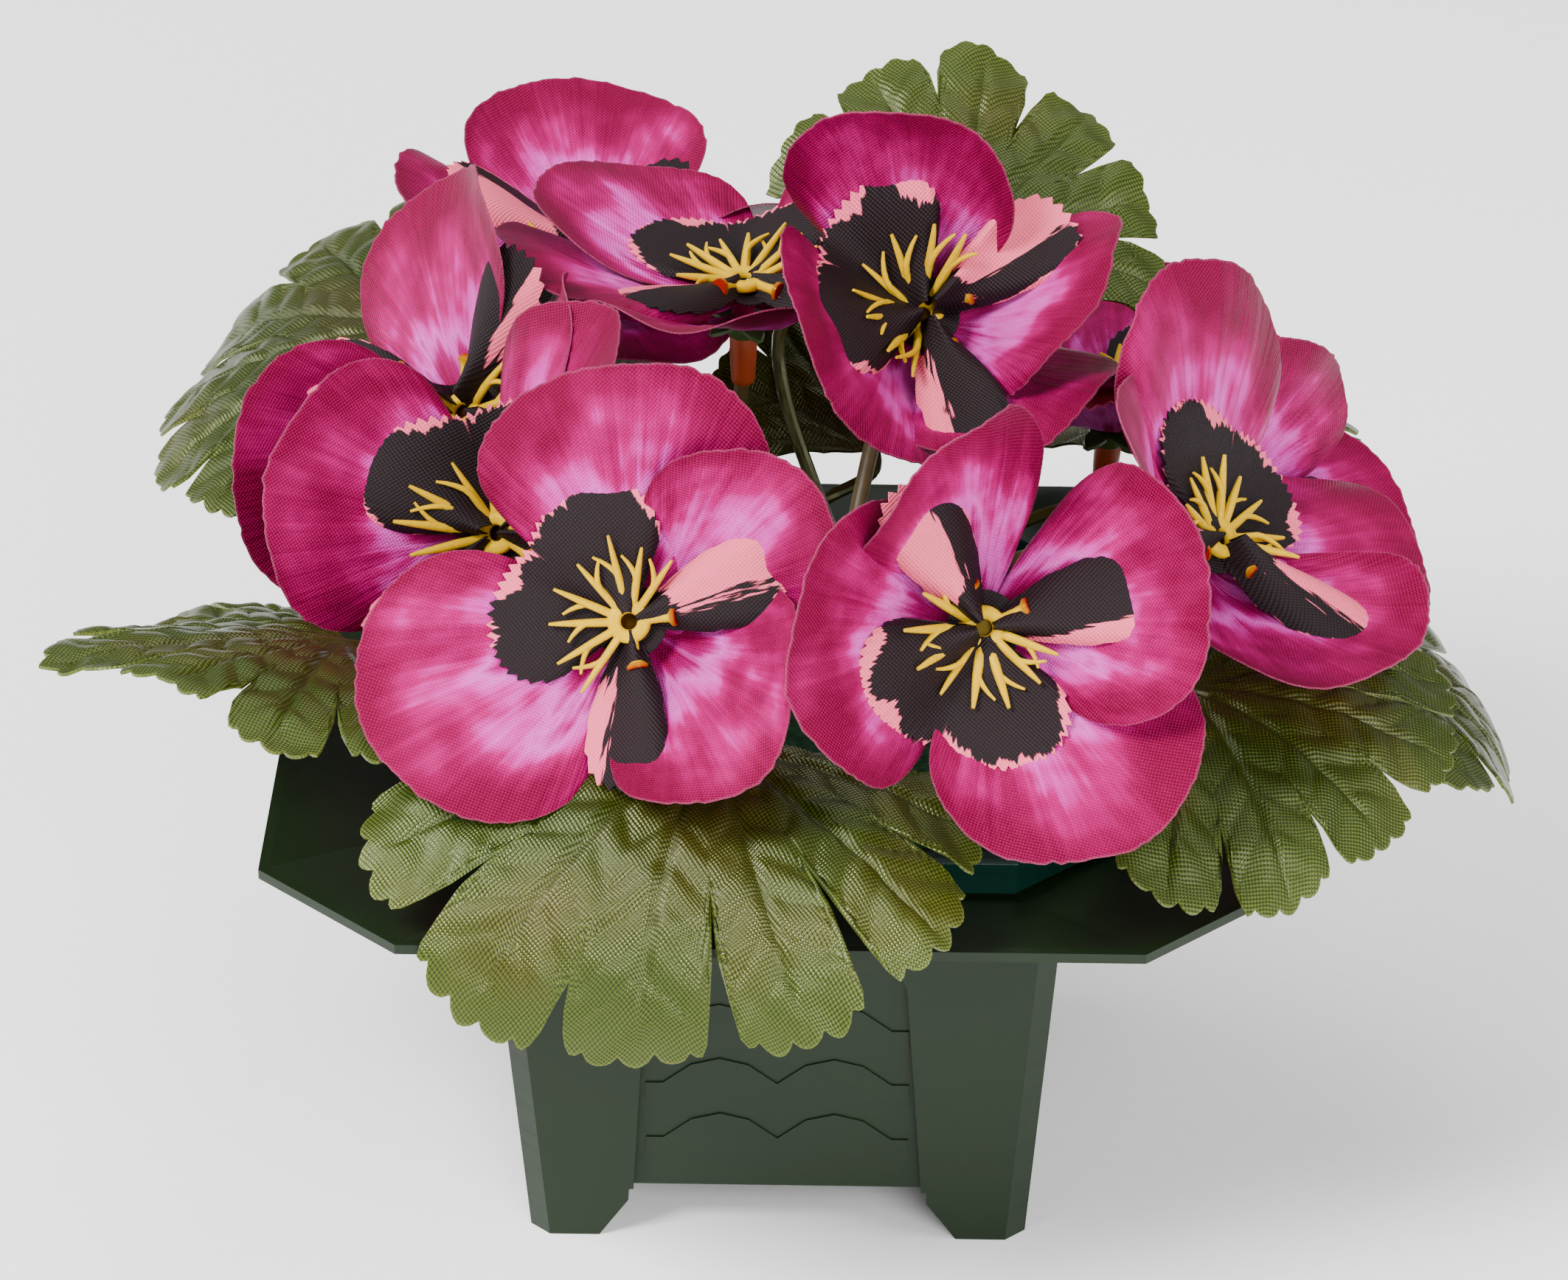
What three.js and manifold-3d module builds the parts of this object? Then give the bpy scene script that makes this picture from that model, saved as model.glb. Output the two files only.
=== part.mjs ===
// Potted pansy planter: a moulded planter with a wide eight-sided brim and corner feet, an insert
// and a foam block inside, ten fabric pansies on plastic stems and nine lobed fabric leaves.
// Millimetres, +Z up, origin on the surface it stands on, front towards -Y. Every place below is
// measured from the planter's own middle.
import * as THREE from "three";
import { mergeVertices } from "three/addons/utils/BufferGeometryUtils.js";
import Module from "manifold-3d";

const wasm = await Module();
wasm.setup();

// Where the planter's own middle stands, so that the whole outline from above is centred
const MIDDLE = { x: -1, y: -7 };

// Planter
const BRIM = { half: 70, cut: 20, top: 67, lip: 1.4, rootHalf: 50, rootCut: 16, rootTop: 64, under: 2 };
const BODY = { footHalf: 35, topHalf: 40, topHeight: 60, cornerCut: 2.8, wall: 3.6, floor: 1.6 };
const FOOT = { height: 8, width: 9.8, bevelInset: 4.2, bevelHeight: 6.1 };
const PANEL = { halfBottom: 20.4, halfTop: 18.1, top: 45.8, depth: 1.6, round: 3 };
const WAVE = { rows: [16.2, 25.6, 34.8], rise: 4.2, half: 8, step: 0.25, sides: 4, apart: 0.999 };

// Insert and foam
const INSERT = { half: 50, cut: 17, wall: 1.5, top: 69.4, lift: 0.3, lean: 0.4, sheet: 1.4,
  mouthHalf: 40, mouthCut: 5 };
const FOAM = { bottom: 10.2, top: 66.5, gap: 0.4, crown: 2, crownIn: 3, holeDepth: 16, holeGap: 0.75 };

// Pansy
const PETAL = { sheet: 0.7, sector: 57, fullness: 0.32, flare: 0.5, rows: 3, columns: 6, hubBend: 8,
  rootOut: 0.8 };
const PETAL_LEVELS = [1.35, 0.45, -0.45, -1.35];
const HUB = { radius: 1.7, half: 1.75, sides: 5 };
const FACE = { sheet: 0.6, level: 2.5, fanHalf: 74, fanLong: 18.5, fanShort: 14, sideLong: 22,
  sideHalf: 20, sideTurn: 52, over: 1, window: 14, tooth: 0.9, neck: 3, sampleFrom: 2, sampleTo: 25,
  endDrop: 3, sideRound: 0.22 };
const STAMEN = { level: 3.9, sheet: 0.8, ringIn: 1, prongs: 7, spread: 200, long: 11, valley: 2.8,
  rise: 4, window: 24, styleLong: 6.2, styleTurn: 42, styleHalf: 12 };
const CALYX = { level: -2.7, sheet: 0.7, tip: 5, notch: 3, sepals: 5, cupRadius: 3, cupDeep: 2.2 };
const SOCKET = { radius: 2, taper: 1.6, bottom: -13, stemIn: 3, stemOut: 8 };
const STEM = { radius: 1.2, sides: 5, steps: 8 };

// Leaf
const LEAF = { sheet: 0.7, lobes: 7, perLobe: 3, rows: 3, notch: 0.84, sideNotch: 0.8, waves: 3.4,
  petiole: 1.1, seat: 0.12, neckBack: 3, neckDrop: 1.5 };

const rad = THREE.MathUtils.degToRad;
const vec = (x, y, z) => new THREE.Vector3(x, y, z);

// Closed solids and their joins

function solid(geometry) {
  geometry.deleteAttribute("normal");
  geometry.deleteAttribute("uv");
  const merged = mergeVertices(geometry, 1e-4);
  const mesh = new wasm.Mesh({
    numProp: 3,
    vertProperties: new Float32Array(merged.attributes.position.array),
    triVerts: new Uint32Array(merged.index.array),
  });
  return new wasm.Manifold(mesh);
}

function join(pieces) {
  return pieces.reduce((whole, piece) => whole.add(piece));
}

function geometryOf(manifold) {
  const mesh = manifold.getMesh();
  const geometry = new THREE.BufferGeometry();
  geometry.setAttribute("position", new THREE.BufferAttribute(new Float32Array(mesh.vertProperties), 3));
  geometry.setIndex(new THREE.BufferAttribute(new Uint32Array(mesh.triVerts), 1));
  const flat = geometry.toNonIndexed();
  flat.computeVertexNormals();
  return flat;
}

function closedGeometry(points, triangles) {
  const geometry = new THREE.BufferGeometry();
  geometry.setAttribute("position", new THREE.Float32BufferAttribute(points.flatMap((p) => p.toArray()), 3));
  geometry.setIndex(triangles.flat());
  return geometry;
}

// Convex rings of equal length, lowest first and anticlockwise from above, skinned and capped
function loft(rings) {
  const count = rings[0].length;
  const last = (rings.length - 1) * count;
  const triangles = [];
  for (let r = 0; r + 1 < rings.length; r++) {
    for (let i = 0; i < count; i++) {
      const a = r * count + i;
      const b = r * count + ((i + 1) % count);
      triangles.push([a, b, b + count], [a, b + count, a + count]);
    }
  }
  for (let i = 1; i + 1 < count; i++) {
    triangles.push([0, i + 1, i], [last, last + i, last + i + 1]);
  }
  return solid(closedGeometry(rings.flat(), triangles));
}

// A surface given equal triangles on both faces and a wall along each edge loop
function thicken(grid, faces, loops, thickness) {
  const normals = grid.map(() => vec(0, 0, 0));
  for (const [i, j, k] of faces) {
    const n = grid[j].clone().sub(grid[i]).cross(grid[k].clone().sub(grid[i])).normalize();
    for (const v of [i, j, k]) normals[v].add(n);
  }
  const offset = (side) => grid.map((p, i) => p.clone().addScaledVector(normals[i].normalize(), side));
  const points = [...offset(thickness / 2), ...offset(-thickness / 2)];
  const below = grid.length;
  const triangles = [];
  for (const [i, j, k] of faces) triangles.push([i, j, k], [i + below, k + below, j + below]);
  for (const loop of loops) {
    loop.forEach((i, e) => {
      const j = loop[(e + 1) % loop.length];
      triangles.push([i, i + below, j + below], [i, j + below, j]);
    });
  }
  return solid(closedGeometry(points, triangles));
}

// A thin sheet over a fan-shaped grid: at(t, a) gives its middle surface, t = 0 at the root
function sheet(at, rows, columns, thickness) {
  const grid = [at(0, 0.5)];
  for (let r = 1; r <= rows; r++) {
    for (let c = 0; c <= columns; c++) grid.push(at(r / rows, c / columns));
  }
  const index = (r, c) => (r === 0 ? 0 : 1 + (r - 1) * (columns + 1) + c);
  const faces = [];
  for (let c = 0; c < columns; c++) {
    faces.push([0, index(1, c), index(1, c + 1)]);
    for (let r = 1; r < rows; r++) {
      faces.push([index(r, c), index(r + 1, c), index(r + 1, c + 1)]);
      faces.push([index(r, c), index(r + 1, c + 1), index(r, c + 1)]);
    }
  }
  const edge = [0];
  for (let r = 1; r <= rows; r++) edge.push(index(r, 0));
  for (let c = 1; c <= columns; c++) edge.push(index(rows, c));
  for (let r = rows - 1; r >= 1; r--) edge.push(index(r, columns));
  return thicken(grid, faces, [edge], thickness);
}

function tube(path, radius, sides, steps) {
  const section = new THREE.Shape();
  for (let i = 0; i < sides; i++) {
    const a = (2 * Math.PI * i) / sides;
    section[i ? "lineTo" : "moveTo"](radius * Math.cos(a), radius * Math.sin(a));
  }
  section.closePath();
  return solid(new THREE.ExtrudeGeometry(section, { steps, bevelEnabled: false, extrudePath: path }));
}

// Planter

function octagon(half, cut, z) {
  const side = half - cut;
  return [[-side, -half], [side, -half], [half, -side], [half, side], [side, half], [-side, half],
    [-half, side], [-half, -side]].map(([x, y]) => vec(x, y, z));
}

const bodyHalf = (z) => BODY.footHalf + ((BODY.topHalf - BODY.footHalf) * z) / BODY.topHeight;
const innerHalf = (z) => bodyHalf(z) - BODY.wall;
const bodyLean = Math.atan((BODY.topHalf - BODY.footHalf) / BODY.topHeight);
const floorTop = FOOT.height + BODY.floor;

function quarterTurns(piece) {
  return [0, 90, 180, 270].map((turn) => piece.rotate([0, 0, turn]));
}

// A flat outline in x and z of one side, pushed from the body's outer face by depths along y
function sideCut(outline, outer, inner) {
  const shape = new THREE.Shape(outline.map(([x, z]) => new THREE.Vector2(x, z)));
  const geometry = new THREE.ExtrudeGeometry(shape, { depth: inner - outer, bevelEnabled: false });
  geometry.rotateX(Math.PI / 2);
  geometry.translate(0, inner, 0);
  geometry.rotateX(bodyLean);
  geometry.translate(0, -BODY.footHalf, 0);
  return solid(geometry);
}

function panelOutline() {
  const { halfBottom, halfTop, top, round } = PANEL;
  const outline = [[-halfBottom, FOOT.height - 2], [halfBottom, FOOT.height - 2]];
  for (const [side, start] of [[1, 0], [-1, 90]]) {
    for (const turn of [0, 45, 90]) {
      const a = rad(start + turn);
      outline.push([side * (halfTop - round) + round * Math.cos(a), top - round + round * Math.sin(a)]);
    }
  }
  return outline;
}

// Two arcs side by side over one plate of the panel's relief
function waveOutline(row) {
  const { rise, half, sides, apart } = WAVE;
  const edge = PANEL.halfBottom - 2;
  const outline = [[-edge, row - 3], [edge, row - 3], [edge, row]];
  for (const middle of [half, -half]) {
    for (let i = 0; i <= sides; i++) {
      const u = 1 - (2 * i) / sides;
      outline.push([middle + u * half * apart, row + rise * (1 - u * u)]);
    }
  }
  outline.push([-edge, row]);
  return outline;
}

function makePlanter() {
  const { half, cut, top, lip, rootHalf, rootCut, rootTop, under } = BRIM;
  const neck = BODY.topHeight;
  const outside = loft([
    octagon(BODY.footHalf, BODY.cornerCut, 0),
    octagon(BODY.topHalf, BODY.cornerCut, neck),
    octagon(rootHalf, rootCut, rootTop - under),
    octagon(half, cut, top - lip),
    octagon(half, cut, top),
  ]);
  const tray = loft([
    octagon(rootHalf, rootCut, rootTop),
    octagon(half - lip, cut - lip * 0.4, top),
    octagon(half - lip, cut - lip * 0.4, top + 5),
  ]);
  const hollow = loft([
    octagon(innerHalf(floorTop), BODY.cornerCut, floorTop),
    octagon(innerHalf(neck), BODY.cornerCut, neck),
    octagon(innerHalf(neck), BODY.cornerCut, top + 5),
  ]);
  const inner = BODY.footHalf - FOOT.width;
  const bevel = inner - FOOT.bevelInset;
  const arch = [[-inner, -1], [inner, -1], [inner, 0], [bevel, FOOT.bevelHeight], [bevel, FOOT.height],
    [-bevel, FOOT.height], [-bevel, FOOT.bevelHeight], [-inner, 0]];
  const archShape = new THREE.Shape(arch.map(([x, z]) => new THREE.Vector2(x, z)));
  const through = new THREE.ExtrudeGeometry(archShape, { depth: 4 * BODY.topHalf, bevelEnabled: false });
  through.rotateX(Math.PI / 2);
  through.translate(0, 2 * BODY.topHalf, 0);
  const between = solid(through);
  let planter = outside.subtract(tray).subtract(hollow);
  planter = planter.subtract(between).subtract(between.rotate([0, 0, 90]));
  for (const recess of quarterTurns(sideCut(panelOutline(), -2, PANEL.depth))) {
    planter = planter.subtract(recess);
  }
  for (const row of WAVE.rows) {
    const plate = sideCut(waveOutline(row), PANEL.depth - WAVE.step, PANEL.depth + 0.5);
    planter = join([planter, ...quarterTurns(plate)]);
  }
  return planter;
}

function makeInsert() {
  const { half, cut, wall, top, lift, lean, sheet: thick, mouthHalf, mouthCut } = INSERT;
  const bottom = BRIM.rootTop + lift;
  const dishHalf = half - wall;
  const dishCut = cut - wall * (2 - Math.SQRT2);
  const outside = loft([octagon(half - lean, cut, bottom), octagon(half, cut, top)]);
  const dish = loft([octagon(dishHalf, dishCut, bottom + thick), octagon(dishHalf, dishCut, top + 1)]);
  const mouth = loft([octagon(mouthHalf, mouthCut, bottom - 1), octagon(mouthHalf, mouthCut, top + 1)]);
  return outside.subtract(dish).subtract(mouth);
}

function makeFoam(holes) {
  const { bottom, top, gap, crown, crownIn, holeDepth, holeGap } = FOAM;
  const shelf = BODY.topHeight;
  let foam = loft([
    octagon(innerHalf(bottom) - gap, BODY.cornerCut, bottom),
    octagon(innerHalf(shelf) - gap, BODY.cornerCut, shelf),
    octagon(innerHalf(shelf) - gap, BODY.cornerCut, top - crown),
    octagon(innerHalf(shelf) - gap - crownIn, BODY.cornerCut, top),
  ]);
  for (const { x, y, radius } of holes) {
    const wide = (radius + holeGap) / Math.cos(Math.PI / 6);
    const drill = new THREE.CylinderGeometry(wide, wide, holeDepth + 1, 6);
    drill.rotateX(Math.PI / 2);
    drill.translate(x, y, top + 1 - (holeDepth + 1) / 2);
    foam = foam.subtract(solid(drill));
  }
  return foam;
}

// Bloom: places in a bloom's own frame of right, up and facing axes

function bloomFrame({ hub, azimuth, elevation }) {
  const a = rad(azimuth);
  const e = rad(elevation);
  const facing = vec(Math.sin(a) * Math.cos(e), -Math.cos(a) * Math.cos(e), Math.sin(e));
  const right = vec(Math.cos(a), Math.sin(a), 0);
  const up = facing.clone().cross(right);
  return { hub: vec(...hub), right, up, facing };
}

const inPlane = (frame, turn) => frame.right.clone().multiplyScalar(Math.cos(turn))
  .addScaledVector(frame.up, Math.sin(turn));

// Forward and upward travel after a length s that starts at an angle and bends at a steady rate
function arc(s, start, rate) {
  if (Math.abs(rate) < 1e-6) return [s * Math.cos(start), s * Math.sin(start)];
  const end = start + rate * s;
  return [(Math.sin(end) - Math.sin(start)) / rate, (Math.cos(start) - Math.cos(end)) / rate];
}

// Travel along a blade that leaves the hub flat, lifts within hubBend and then bends on slowly
function rise(s, lift, bend, length) {
  const slow = bend / length;
  const near = Math.min(s, PETAL.hubBend);
  const far = Math.max(s - PETAL.hubBend, 0);
  const [p, q] = arc(near, 0, lift / PETAL.hubBend + slow);
  const [u, v] = arc(far, lift + slow * PETAL.hubBend, slow);
  return [p + u, q + v, (lift * near) / PETAL.hubBend + slow * s];
}

function petalPoint(frame, petal, level, t, a) {
  const [turnDeg, liftDeg, rollDeg, length, width, bendDeg, cup] = petal;
  const theta = rad((2 * a - 1) * (PETAL.sector - 0.8));
  const reach = Math.cos((theta * Math.PI) / 2 / rad(PETAL.sector)) ** PETAL.fullness;
  const x = ((width / 2) * t * reach * Math.sin(theta)) / PETAL.flare;
  const y = length * t * reach * Math.cos(theta);
  const [p, q, angle] = rise(y, rad(liftDeg), rad(bendDeg), length);
  const along = inPlane(frame, rad(turnDeg));
  const across = inPlane(frame, rad(turnDeg) - Math.PI / 2);
  const normal = along.clone().multiplyScalar(-Math.sin(angle))
    .addScaledVector(frame.facing, Math.cos(angle));
  const roll = rad(rollDeg) * t * (2 - t);
  const side = across.clone().multiplyScalar(Math.cos(roll)).addScaledVector(normal, Math.sin(roll));
  const over = across.multiplyScalar(-Math.sin(roll)).addScaledVector(normal, Math.cos(roll));
  const hollow = cup * (x / (width / 2)) ** 2 * (y / length);
  return frame.hub.clone().addScaledVector(frame.facing, level + q).addScaledVector(along, p + PETAL.rootOut)
    .addScaledVector(side, x).addScaledVector(over, hollow);
}

// A cylinder along the facing axis between two levels
function boss(frame, radiusLow, radiusHigh, low, high, sides) {
  const geometry = new THREE.CylinderGeometry(radiusHigh, radiusLow, high - low, sides);
  const turn = new THREE.Quaternion().setFromUnitVectors(vec(0, 1, 0), frame.facing);
  geometry.applyQuaternion(turn);
  const middle = frame.hub.clone().addScaledVector(frame.facing, (low + high) / 2);
  geometry.translate(middle.x, middle.y, middle.z);
  return solid(geometry);
}

function makePetals(bloom, frame) {
  const blades = bloom.petals.map((petal, i) => sheet(
    (t, a) => petalPoint(frame, petal, PETAL_LEVELS[i], t, 1 - a), PETAL.rows, PETAL.columns, PETAL.sheet));
  return join([boss(frame, HUB.radius, HUB.radius, -HUB.half, HUB.half, HUB.sides), ...blades]);
}

// Angles of the petals' points above the face's root, each with its direction round the hub
function petalSlopes(bloom, frame) {
  const seen = [];
  bloom.petals.forEach((petal, i) => {
    for (let t = 0.15; t <= 1.01; t += 0.085) {
      for (let a = 0; a <= 1; a += 0.1) {
        const off = petalPoint(frame, petal, PETAL_LEVELS[i], t, a).sub(frame.hub);
        const u = off.dot(frame.right);
        const v = off.dot(frame.up);
        const out = Math.hypot(u, v);
        if (out < FACE.sampleFrom || out > FACE.sampleTo) continue;
        const above = off.dot(frame.facing) + FACE.over - FACE.level;
        seen.push([Math.atan2(v, u), Math.atan2(above, out)]);
      }
    }
  });
  return seen;
}

// Steepest of those angles within a window of directions
function steepest(slopes, turn, window) {
  let best = 0;
  for (const [direction, slope] of slopes) {
    const off = Math.atan2(Math.sin(turn - direction), Math.cos(turn - direction));
    if (Math.abs(off) < rad(window)) best = Math.max(best, slope);
  }
  return best;
}

function conePoint(frame, turn, reach, level, slope) {
  return frame.hub.clone().addScaledVector(frame.facing, level + reach * Math.sin(slope))
    .addScaledVector(inPlane(frame, turn), reach * Math.cos(slope));
}

// A thin sheet over a full round of directions: at(t, a) gives its middle surface, with t = 0 at
// the middle, or at the rim of a hole where inner is true
function roundSheet(at, rows, columns, thickness, inner) {
  const grid = inner ? [] : [at(0, 0)];
  const first = grid.length;
  for (let r = inner ? 0 : 1; r <= rows; r++) {
    for (let c = 0; c < columns; c++) grid.push(at(r / rows, c / columns));
  }
  const rings = (grid.length - first) / columns;
  const index = (r, c) => first + r * columns + (c % columns);
  const faces = [];
  for (let c = 0; c < columns; c++) {
    if (!inner) faces.push([0, index(0, c), index(0, c + 1)]);
    for (let r = 0; r + 1 < rings; r++) {
      faces.push([index(r, c), index(r + 1, c), index(r + 1, c + 1)]);
      faces.push([index(r, c), index(r + 1, c + 1), index(r, c + 1)]);
    }
  }
  const loops = [Array.from({ length: columns }, (_, c) => index(rings - 1, c))];
  if (inner) loops.push(Array.from({ length: columns }, (_, c) => index(0, columns - 1 - c)));
  return thicken(grid, faces, loops, thickness);
}

// The printed face: one wide fan lobe with a dip in the middle and two narrow side lobes.
// Its columns are [turn from the fan's middle in degrees, reach in millimetres].
function faceOutline() {
  const { fanHalf, fanLong, fanShort, sideLong, sideHalf, sideTurn, tooth, neck } = FACE;
  const { endDrop, sideRound } = FACE;
  const columns = [];
  const fanSteps = 10;
  for (let i = 0; i <= fanSteps; i++) {
    const u = (2 * i) / fanSteps - 1;
    const hump = fanShort + (fanLong - fanShort) * Math.sin(Math.PI * Math.abs(u));
    const reach = hump - endDrop * Math.abs(u) ** 6;
    columns.push([u * fanHalf, reach - (i % 2 ? tooth : 0)]);
  }
  for (const side of [180 - sideTurn, 180 + sideTurn]) {
    columns.push([side - sideHalf - 4, neck]);
    for (const u of [-1, -0.4, 0.4, 1]) {
      columns.push([side + u * sideHalf, sideLong * (1 - sideRound * u * u)]);
    }
    columns.push([side + sideHalf + 4, neck]);
  }
  return columns;
}

function makeFace(bloom, frame) {
  const slopes = petalSlopes(bloom, frame);
  const columns = faceOutline().map(([turn, reach]) => {
    const way = rad(bloom.fan + turn);
    return [way, reach, steepest(slopes, way, FACE.window)];
  });
  return roundSheet((t, a) => {
    const [way, reach, slope] = columns[Math.round(a * columns.length)];
    return conePoint(frame, way, t * reach, FACE.level, slope);
  }, 1, columns.length, FACE.sheet, false);
}

// Star of prongs on the fan's side and two thicker styles opposite, round a hollow ring
function stamenOutline() {
  const { prongs, spread, long, valley, styleLong, styleTurn, styleHalf } = STAMEN;
  const columns = [];
  for (let i = 0; i < 2 * prongs - 1; i++) {
    const turn = spread * (i / (2 * prongs - 2) - 0.5);
    columns.push([turn, i % 2 ? valley : long - (i % 4 ? 1 : 0)]);
  }
  for (const side of [180 - styleTurn, 180 + styleTurn]) {
    columns.push([side - styleHalf - 8, valley]);
    for (const turn of [-styleHalf / 2, styleHalf / 2]) columns.push([side + turn, styleLong]);
    columns.push([side + styleHalf + 8, valley]);
  }
  return columns;
}

function makeStamens(bloom, frame) {
  const { level, ringIn, rise: lift, window, sheet: thick } = STAMEN;
  const slopes = petalSlopes(bloom, frame);
  const columns = stamenOutline().map(([turn, reach]) => {
    const way = rad(bloom.fan + turn);
    return [way, reach, steepest(slopes, way, window) + rad(lift)];
  });
  return roundSheet((t, a) => {
    const [way, reach, slope] = columns[Math.round(a * columns.length)];
    return conePoint(frame, way, ringIn + t * (reach - ringIn), level, slope);
  }, 1, columns.length, thick, true);
}

function makeStalk(bloom, frame) {
  const { level, tip, notch, sepals, cupRadius, cupDeep, sheet: thick } = CALYX;
  const star = [];
  for (let i = 0; i < 2 * sepals; i++) {
    const reach = i % 2 ? notch : tip;
    const turn = (Math.PI * i) / sepals;
    star.push(new THREE.Vector2(reach * Math.cos(turn), reach * Math.sin(turn)));
  }
  const sepalStar = new THREE.ExtrudeGeometry(new THREE.Shape(star), { depth: thick, bevelEnabled: false });
  sepalStar.applyMatrix4(new THREE.Matrix4().makeBasis(frame.right, frame.up, frame.facing));
  const seat = frame.hub.clone().addScaledVector(frame.facing, level - thick / 2);
  sepalStar.translate(seat.x, seat.y, seat.z);
  const profile = [[0, SOCKET.bottom], [SOCKET.taper, SOCKET.bottom], [SOCKET.radius, level - cupDeep],
    [cupRadius, level], [0, level]].map(([x, y]) => new THREE.Vector2(x, y));
  const turned = new THREE.LatheGeometry(profile, 6);
  turned.applyQuaternion(new THREE.Quaternion().setFromUnitVectors(vec(0, 1, 0), frame.facing));
  turned.translate(...frame.hub.toArray());
  const [x, y] = bloom.hole;
  const start = frame.hub.clone().addScaledVector(frame.facing, SOCKET.bottom + SOCKET.stemIn);
  const bend = frame.hub.clone().addScaledVector(frame.facing, SOCKET.bottom - SOCKET.stemOut);
  const path = new THREE.CatmullRomCurve3([start, bend, ...stemWay(bloom), ...rootOf(x, y)]);
  return join([solid(turned), solid(sepalStar), tube(path, STEM.radius, STEM.sides, STEM.steps)]);
}

// The last stretch of a stem or petiole, straight down into its hole
const rootOf = (x, y) => [6, -4, 1 - FOAM.holeDepth].map((z) => vec(x, y, FOAM.top + z));

const stemWay = ({ via }) => via.map((point) => vec(...point));

// Leaf: a fan of lobes cut by deep notches, on a petiole

function lobeReach(leaf, a) {
  const { lobes, notch, sideNotch } = LEAF;
  const place = Math.min(a * lobes, lobes - 1e-6);
  const lobe = Math.floor(place);
  const u = 2 * (place - lobe) - 1;
  const cut = a < 1e-6 || a > 1 - 1e-6 ? sideNotch : notch;
  const full = leaf.reach[lobe];
  return leaf.size * full * (cut + (1 - cut) * (1 - u ** 4));
}

function leafFrame({ base, azimuth, bank }) {
  const a = rad(azimuth);
  const outward = vec(Math.sin(a), -Math.cos(a), 0);
  const across = vec(Math.cos(a), Math.sin(a), 0);
  const b = rad(bank);
  const side = across.clone().multiplyScalar(Math.cos(b)).add(vec(0, 0, Math.sin(b)));
  const over = across.multiplyScalar(-Math.sin(b)).add(vec(0, 0, Math.cos(b)));
  return { base: vec(...base), outward, side, over };
}

// pitch is the angle above level at the base, droop how much it falls over the leaf's size and
// fold how far the sides fall, in millimetres at the leaf's full reach
function leafPoint(leaf, frame, t, a) {
  const theta = rad((2 * a - 1) * leaf.spread);
  const reach = t * lobeReach(leaf, a);
  const x = reach * Math.sin(theta);
  const y = reach * Math.cos(theta);
  const [p, q] = arc(y, rad(leaf.pitch), -rad(leaf.droop) / leaf.size);
  const fold = -leaf.fold * (x / leaf.size) ** 2;
  const wave = leaf.wave * t * t * Math.sin(theta * LEAF.waves + leaf.phase);
  return frame.base.clone().addScaledVector(frame.outward, p).addScaledVector(frame.side, x)
    .addScaledVector(frame.over, q + fold + wave);
}

function makeLeaf(leaf) {
  const frame = leafFrame(leaf);
  const { lobes, perLobe, rows, seat, neckBack, neckDrop } = LEAF;
  const blade = sheet((t, a) => leafPoint(leaf, frame, t, 1 - a), rows, lobes * perLobe, LEAF.sheet);
  const [x, y] = leaf.hole;
  const top = leafPoint(leaf, frame, seat, 0.5);
  const neck = frame.base.clone().addScaledVector(frame.outward, -neckBack)
    .addScaledVector(frame.over, -neckDrop);
  const path = new THREE.CatmullRomCurve3([top, neck, ...stemWay(leaf), ...rootOf(x, y)]);
  return join([blade, tube(path, LEAF.petiole, STEM.sides, STEM.steps)]);
}

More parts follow.
